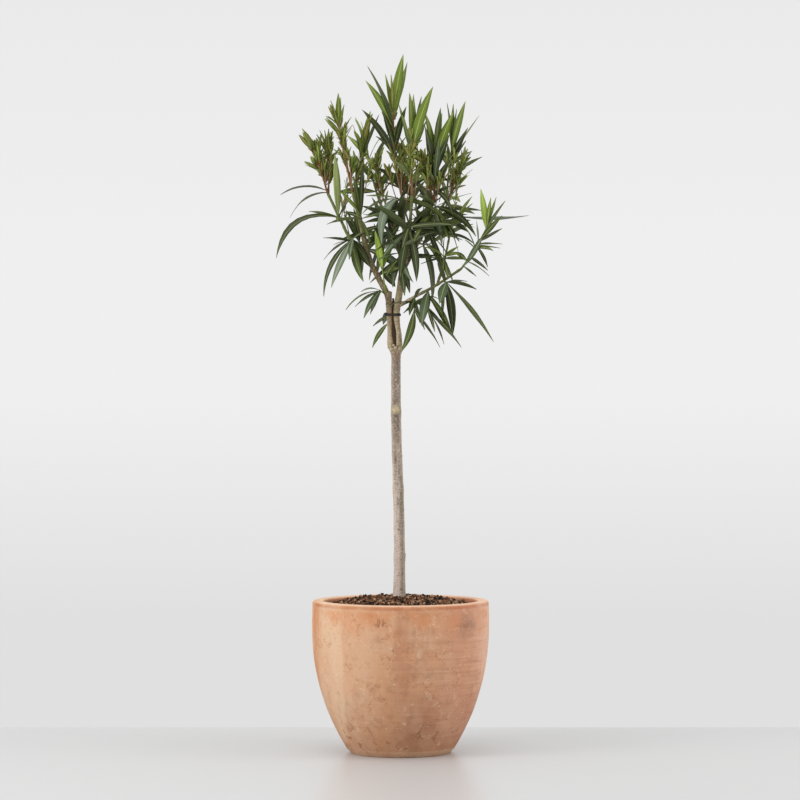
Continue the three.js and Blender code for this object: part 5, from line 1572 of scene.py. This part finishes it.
# Fills in what every leaf has, drawn from its keys.
def leafSpec(keys, **given):
    by = [draw(*keys, seeds["shape"] + m) for m in range(3)]
    spec = {
        "curl": leaf["curl"] * mix(*variety["curl"], by[0]),
        "fold": leaf["fold"] * mix(*variety["fold"], by[1]),
        "phase": 6.3 * by[2],
    }
    spec.update(given)
    return spec


def leadLeaves(shoot, index):
    grown = []
    for n, (t, tip, arch, twist, tint, *wide) in enumerate(shoot.get("lead", [])):
        root, tip = onStem(shoot, t), point(*tip)
        width = wide[0] if wide else widthOf(np.linalg.norm(tip - root), leaf["widthShare"])
        grown.append(leafSpec(
            (index, seeds["lead"] + n), root=root, tip=tip, axis=stemHeading(shoot, t), arch=arch,
            twist=twist, width=width, tint=tint, isLead=True,
        ))
    return grown


# The seeded leaves of a shoot's whorls, from the lowest up.
def whorlLeaves(shoot, index):
    grown = []
    for w in range(shoot.get("whorls", 0)):
        share = w / (shoot["whorls"] - 1) if shoot["whorls"] > 1 else 0
        t = mix(*shoot["reach"], share)
        for k in range(3):
            by = [draw(index, w, k, n) for n in range(9)]
            turn = shoot["turn"] + 120 * k + 60 * w + mix(-variety["turn"], variety["turn"], by[1])
            spread = mix(*shoot["spread"], share) * mix(*variety["spread"], by[2])
            heading = branchOff(stemHeading(shoot, t), turn, spread)
            heading[2] -= mix(*shoot["sag"], share) * mix(*variety["sag"], by[4])
            length = mix(*shoot["length"], share) * mix(*variety["length"], by[3])
            root = onStem(shoot, t)
            isUpper = share > mix(*variety["tintFrom"], by[8])
            grown.append(leafSpec(
                (index, w, k), root=root, tip=root + unit(heading) * length,
                axis=stemHeading(shoot, t), arch=leaf["arch"] * mix(*variety["arch"], by[7]),
                twist=mix(-leaf["twist"], leaf["twist"], by[5]), tint=shoot["tints"][isUpper],
                width=widthOf(length, leaf["widthShare"] * mix(*variety["width"], by[6])),
            ))
    return grown


def smallLeaf(keys, root, heading, reach, tint, twist):
    return leafSpec(
        keys, root=root, tip=root + heading * reach, axis=heading, arch=budLeaf["arch"],
        twist=twist, width=widthOf(reach, budLeaf["widthShare"]), tint=tint, isSmall=True,
    )


# A small leaf whose tint and twist come from its own draws.
def tuftLeaf(keys, root, heading, reach, by):
    twist = mix(-leaf["twist"], leaf["twist"], by[4])
    return smallLeaf(keys, root, heading, reach, pick(budTints, by[5]), twist)


# The nth of count twigs of a kind on a shoot: its root, heading and length.
def twigOn(shoot, kind, n, count, by):
    t = mix(*kind["between"], (n + 0.5) / count)
    turn = shoot["turn"] + kind["turn"] * n + mix(-kind["sway"], kind["sway"], by[1])
    heading = branchOff(stemHeading(shoot, t), turn, mix(*kind["spread"], by[2]))
    heading[2] += sideTwig["lift"]
    return onStem(shoot, t), unit(heading), mix(*kind["length"], by[3])


# A side twig ends in a leaf and carries leaves on alternate sides.
def sideTwigLeaves(keys, root, heading, length, by):
    tip = root + heading * length
    reach = mix(*sideTwig["tipLeaf"], by[4])
    small = [smallLeaf(keys, tip, heading, reach, pick(budTints, by[6]), 360 * by[5])]
    for k, share in enumerate(sideTwig["leafPlaces"]):
        at = [draw(*keys, k, 10 + m) for m in range(6)]
        turn = sideTwig["leafTurn"] * k + sideTwig["leafSway"] * at[1]
        if k > 1:
            turn += sideTwig["lowTurn"]
        away = branchOff(heading, turn, mix(*budLeaf["spread"], at[2]))
        reach = mix(*budLeaf["length"], at[3])
        small.append(tuftLeaf((*keys, k), root + heading * length * share, away, reach, at))
    return small


# A finer twig ends in a tuft.
def fineTwigLeaves(keys, root, heading, length):
    small = []
    for k in range(fineTwig["leaves"]):
        at = [draw(*keys, k, 10 + m) for m in range(6)]
        turn = fineTwig["leafTurn"] * k + fineTwig["leafSway"] * at[1]
        away = unit(branchOff(heading, turn, mix(*fineTwig["leafSpread"], at[2])) + uplift)
        start = root + heading * length * (1 - fineTwig["leafStep"] * k)
        small.append(tuftLeaf((*keys, k), start, away, mix(*fineTwig["leafLength"], at[3]), at))
    return small


# Dry scales along a finer twig.
def twigBracts(keys, root, heading, length):
    bracts = []
    for k in range(fineTwig["bracts"]):
        own = *keys, seeds["bracts"] + k
        at = [draw(*own, 10 + m) for m in range(6)]
        turn = fineTwig["bractTurn"] * k + fineTwig["bractSway"] * at[1]
        away = branchOff(heading, turn, mix(*fineTwig["bractSpread"], at[2]))
        start = root + heading * length * mix(*fineTwig["bractsFrom"], at[3])
        bracts.append(leafSpec(
            own, root=start, tip=start + away * mix(*fineTwig["bractLength"], at[4]), axis=away,
            arch=leaf["arch"], twist=360 * at[5], width=fineTwig["bractWidth"], tint="bract",
            isSmall=True,
        ))
    return bracts


# The side twigs of a budding shoot and the finer twigs between them. Returns the small leaves,
# the twigs and the bracts.
def budGrowth(shoot, index):
    small, twigs, bracts = [], [], []
    count = shoot.get("twigs", 0)
    for n in range(count):
        keys = index, seeds["sideTwigs"] + n
        by = [draw(*keys, m) for m in range(8)]
        root, heading, length = twigOn(shoot, sideTwig, n, count, by)
        twigs.append((root, root + heading * length, sideTwig["half"]))
        small.extend(sideTwigLeaves(keys, root, heading, length, by))
    fineCount = count * fineTwig["perTwig"]
    for n in range(fineCount):
        keys = index, seeds["fineTwigs"] + n
        by = [draw(*keys, m) for m in range(8)]
        root, heading, length = twigOn(shoot, fineTwig, n, fineCount, by)
        twigs.append((root, root + heading * length, fineTwig["half"]))
        small.extend(fineTwigLeaves(keys, root, heading, length))
        bracts.extend(twigBracts(keys, root, heading, length))
    return small, twigs, bracts


# The tuft of small leaves at the upper end of a bare stalk.
def stalkLeaves(foot, tip, index):
    heading = unit(tip - foot)
    small = []
    for k in range(stalkTuft["leaves"]):
        keys = seeds["stalks"] + index, k
        at = [draw(*keys, m) for m in range(6)]
        start = mix(foot, tip, mix(stalkTuft["from"], 1, k / (stalkTuft["leaves"] - 1)))
        turn = stalkTuft["turn"] * k + stalkTuft["sway"] * at[1]
        away = unit(branchOff(heading, turn, mix(*stalkTuft["spread"], at[2])) + uplift)
        small.append(tuftLeaf(keys, start, away, mix(*stalkTuft["length"], at[3]), at))
    return small


roomShares = (0.35, 0.5, 0.65, 0.8, 0.95)


# Points along a blade that stand for the room it fills.
def samplePoints(spec):
    return [mix(spec["root"], spec["tip"], t) for t in roomShares]


def keepRoom(placed, spec, index):
    room = samplePoints(spec)
    placed["points"].extend(room)
    placed["owner"].extend([index] * len(room))


# Tries a leaf at its own place, then turned a little to either side about its stem, and keeps
# the first that is clear of the other shoots' leaves.
def placeLeaf(spec, placed, index):
    for n in range(leaf["tries"]):
        aside = (1 if n % 2 else -1) * math.ceil(n / 2) * leaf["tryTurn"]
        reach = rotated(spec["tip"] - spec["root"], spec["axis"], aside)
        spec = {**spec, "tip": spec["root"] + reach} if n else spec
        if not placed["points"]:
            break
        apart = np.array(samplePoints(spec))[:, None, :] - np.array(placed["points"])[None, :, :]
        isOther = np.array(placed["owner"]) != index
        isNear = np.linalg.norm(apart, axis=2).min(axis=0) < leaf["clear"]
        if not (isOther & isNear).any():
            break
    else:
        return None
    return spec


def leafMaterials(names):
    materials = []
    for name in names:
        for part, colour in zip(("Blade", "Inner", "Midrib", "Underside"), tints[name]):
            finish = waxyFinish if part in ("Blade", "Inner") else dryFinish
            material, tree, shader = newMaterial(f"leaf{name.capitalize()}{part}", colour, *finish)
            grain(tree, shader, 0.003, (1, 1, 0.5), 0.0004)
            materials.append(material)
    return materials


# The grown leaves of every shoot: first those of the outline, then the whorls in what room is left.
def grownLeaves():
    placed = {"points": [], "owner": []}
    grown = []
    for index, shoot in enumerate(shoots):
        for spec in leadLeaves(shoot, index):
            grown.append(spec)
            keepRoom(placed, spec, index)
    for index, shoot in enumerate(shoots):
        for spec in whorlLeaves(shoot, index):
            spec = placeLeaf(spec, placed, index)
            if spec is not None:
                grown.append(spec)
                keepRoom(placed, spec, index)
    return grown


def addLeaves(skin, specs, names):
    for spec in specs:
        addLeaf(skin, spec, 4 * names.index(spec["tint"]))


def growCrown():
    oldSkin, youngSkin, budSkin, bractSkin = Skin(), Skin(), Skin(), Skin()
    stemSkin, budStemSkin, stalkSkin = Skin(), Skin(), Skin()
    masses = [shoot["name"] for shoot in shoots]
    budding = [shoot["name"] for shoot in shoots if shoot.get("twigs")]
    grown = grownLeaves()
    addLeaves(oldSkin, [spec for spec in grown if spec["tint"] in oldTints], oldTints)
    addLeaves(youngSkin, [spec for spec in grown if spec["tint"] in youngTints], youngTints)
    print(f"{len(grown)} leaves placed")
    for index, shoot in enumerate(shoots):
        small, twigs, bracts = budGrowth(shoot, index)
        addLeaves(budSkin, small, budTints)
        addLeaves(bractSkin, bracts, ["bract"])
        skin = budStemSkin if shoot.get("twigs") else stemSkin
        finish = int(shoot.get("isSoft", False))
        size = tapered(shoot["radius"], stemTaper)
        addTube(skin, lambda t: onStem(shoot, t), size, *stemRings, finish)
        for root, tip, half in twigs:
            size = tapered(half, twigTaper)
            addTube(budStemSkin, lambda t: mix(root, tip, t), size, *twigRings)
    for index, (foot, tip, half) in enumerate(stalks):
        foot, tip = point(*foot), point(*tip)
        addTube(stalkSkin, lambda t: mix(foot, tip, t), tapered(half, stalkTaper), *stalkRings)
        addLeaves(budSkin, stalkLeaves(foot, tip, index), budTints)
    pinkish = plainWood("stalkPinkishSmooth", wood["stalk"])
    stalkSkin.piece("stalksBare", [pinkish], "foliage", budding)
    oldSkin.piece("leavesOld", leafMaterials(oldTints), "foliage", masses)
    youngSkin.piece("leavesYoung", leafMaterials(youngTints), "foliage", masses)
    budSkin.piece("leavesBudding", leafMaterials(budTints), "foliage", budding)
    papery = plainWood("bractDryPapery", wood["bract"], 0.7)
    bractSkin.piece("budBracts", [papery] * 4, "foliage", budding)
    greens = [plainWood("stemGreenSmooth", wood["green"]), plainWood("stemSoftLime", wood["soft"])]
    stemSkin.piece("stemsGreen", greens, "foliage", masses)
    reddish = plainWood("stemReddishSmooth", wood["bud"])
    budStemSkin.piece("stemsBudding", [reddish], "foliage", budding)


growCrown()
print("crown made")

# The floor, the wall behind it and the camera, in metres.
studio = {
    "floorFront": -9.0,
    "floorBack": 0.365,
    "floorSide": 7.0,
    "floorFinish": ("#c7c7c7", 0.32, 0.35),  # colour, roughness and gloss
    "wallLow": "#e0e0e0",
    "wallMiddle": "#efefef",
    "wallHigh": "#e9e9e9",
    "lowBand": (-0.075, 0.0),  # slopes between which the wall goes from low to middle
    "highBand": (0.05, 0.16),
    "camera": (-0.0008, -4.9, 0.598),
    "lens": 129.7,
    "sensor": 36,
}


def makeFloor():
    side, front, back = studio["floorSide"], studio["floorFront"], studio["floorBack"]
    mesh = bpy.data.meshes.new("studioFloor")
    corners = [(-side, front, 0), (side, front, 0), (side, back, 0), (-side, back, 0)]
    mesh.from_pydata(corners, [], [(0, 1, 2, 3)])
    floor = bpy.data.objects.new("studioFloor", mesh)
    bpy.context.scene.collection.objects.link(floor)
    material, _, _ = newMaterial("studioFloorSatin", *studio["floorFinish"])
    mesh.materials.append(material)


def makeWorld():
    world = bpy.data.worlds.new("studio")
    bpy.context.scene.world = world
    world.use_nodes = True
    tree = world.node_tree
    tree.nodes.clear()
    place = addNode(tree, "ShaderNodeTexCoord").outputs["Generated"]
    up = addNode(tree, "ShaderNodeSeparateXYZ", None, {0: place}).outputs["Z"]
    low, middle, high = (hexColour(studio[key]) for key in ("wallLow", "wallMiddle", "wallHigh"))
    shares = []
    for start, end in (studio["lowBand"], studio["highBand"]):
        share = addNode(tree, "ShaderNodeMapRange", {"clamp": True, 1: start, 2: end}, {0: up})
        shares.append(share.outputs[0])
    wall = addNode(tree, "ShaderNodeMix", {"data_type": "RGBA", 6: low, 7: middle}, {0: shares[0]})
    links = {0: shares[1], 6: wall.outputs[2]}
    wall = addNode(tree, "ShaderNodeMix", {"data_type": "RGBA", 7: high}, links)
    background = addNode(tree, "ShaderNodeBackground", {"Strength": 1.0}, {"Color": wall.outputs[2]})
    addNode(tree, "ShaderNodeOutputWorld", None, {0: background.outputs[0]})


# Two soft sides and a soft top, which leave only a faint shadow.
softboxes = [
    {"name": "softboxLeft", "place": (-2.3, -1.3, 1.3), "size": (1.2, 2.2), "power": 34, "aim": (0, 0, 0.5)},
    {"name": "softboxRight", "place": (2.4, -0.6, 1.3), "size": (1.0, 2.2), "power": 20, "aim": (0, 0, 0.5)},
    {"name": "softboxTop", "place": (-0.3, -0.6, 3.2), "size": (1.6, 1.6), "power": 16, "aim": (0, 0, 0.4)},
]


def makeLights():
    for box in softboxes:
        light = bpy.data.lights.new(box["name"], "AREA")
        light.shape = "RECTANGLE"
        light.size, light.size_y = box["size"]
        light.energy = box["power"]
        lamp = bpy.data.objects.new(box["name"], light)
        lamp.location = box["place"]
        aim = Vector(box["aim"]) - Vector(box["place"])
        lamp.rotation_euler = aim.to_track_quat("-Z", "Y").to_euler()
        bpy.context.scene.collection.objects.link(lamp)


def makeCamera():
    data = bpy.data.cameras.new("camera")
    data.lens = studio["lens"]
    data.sensor_width = studio["sensor"]
    camera = bpy.data.objects.new("camera", data)
    camera.location = studio["camera"]
    camera.rotation_euler = (math.radians(90), 0, 0)
    bpy.context.scene.collection.objects.link(camera)
    bpy.context.scene.camera = camera


makeFloor()
makeWorld()
makeLights()
makeCamera()
bpy.context.scene.view_settings.view_transform = "Standard"
print("studio made")
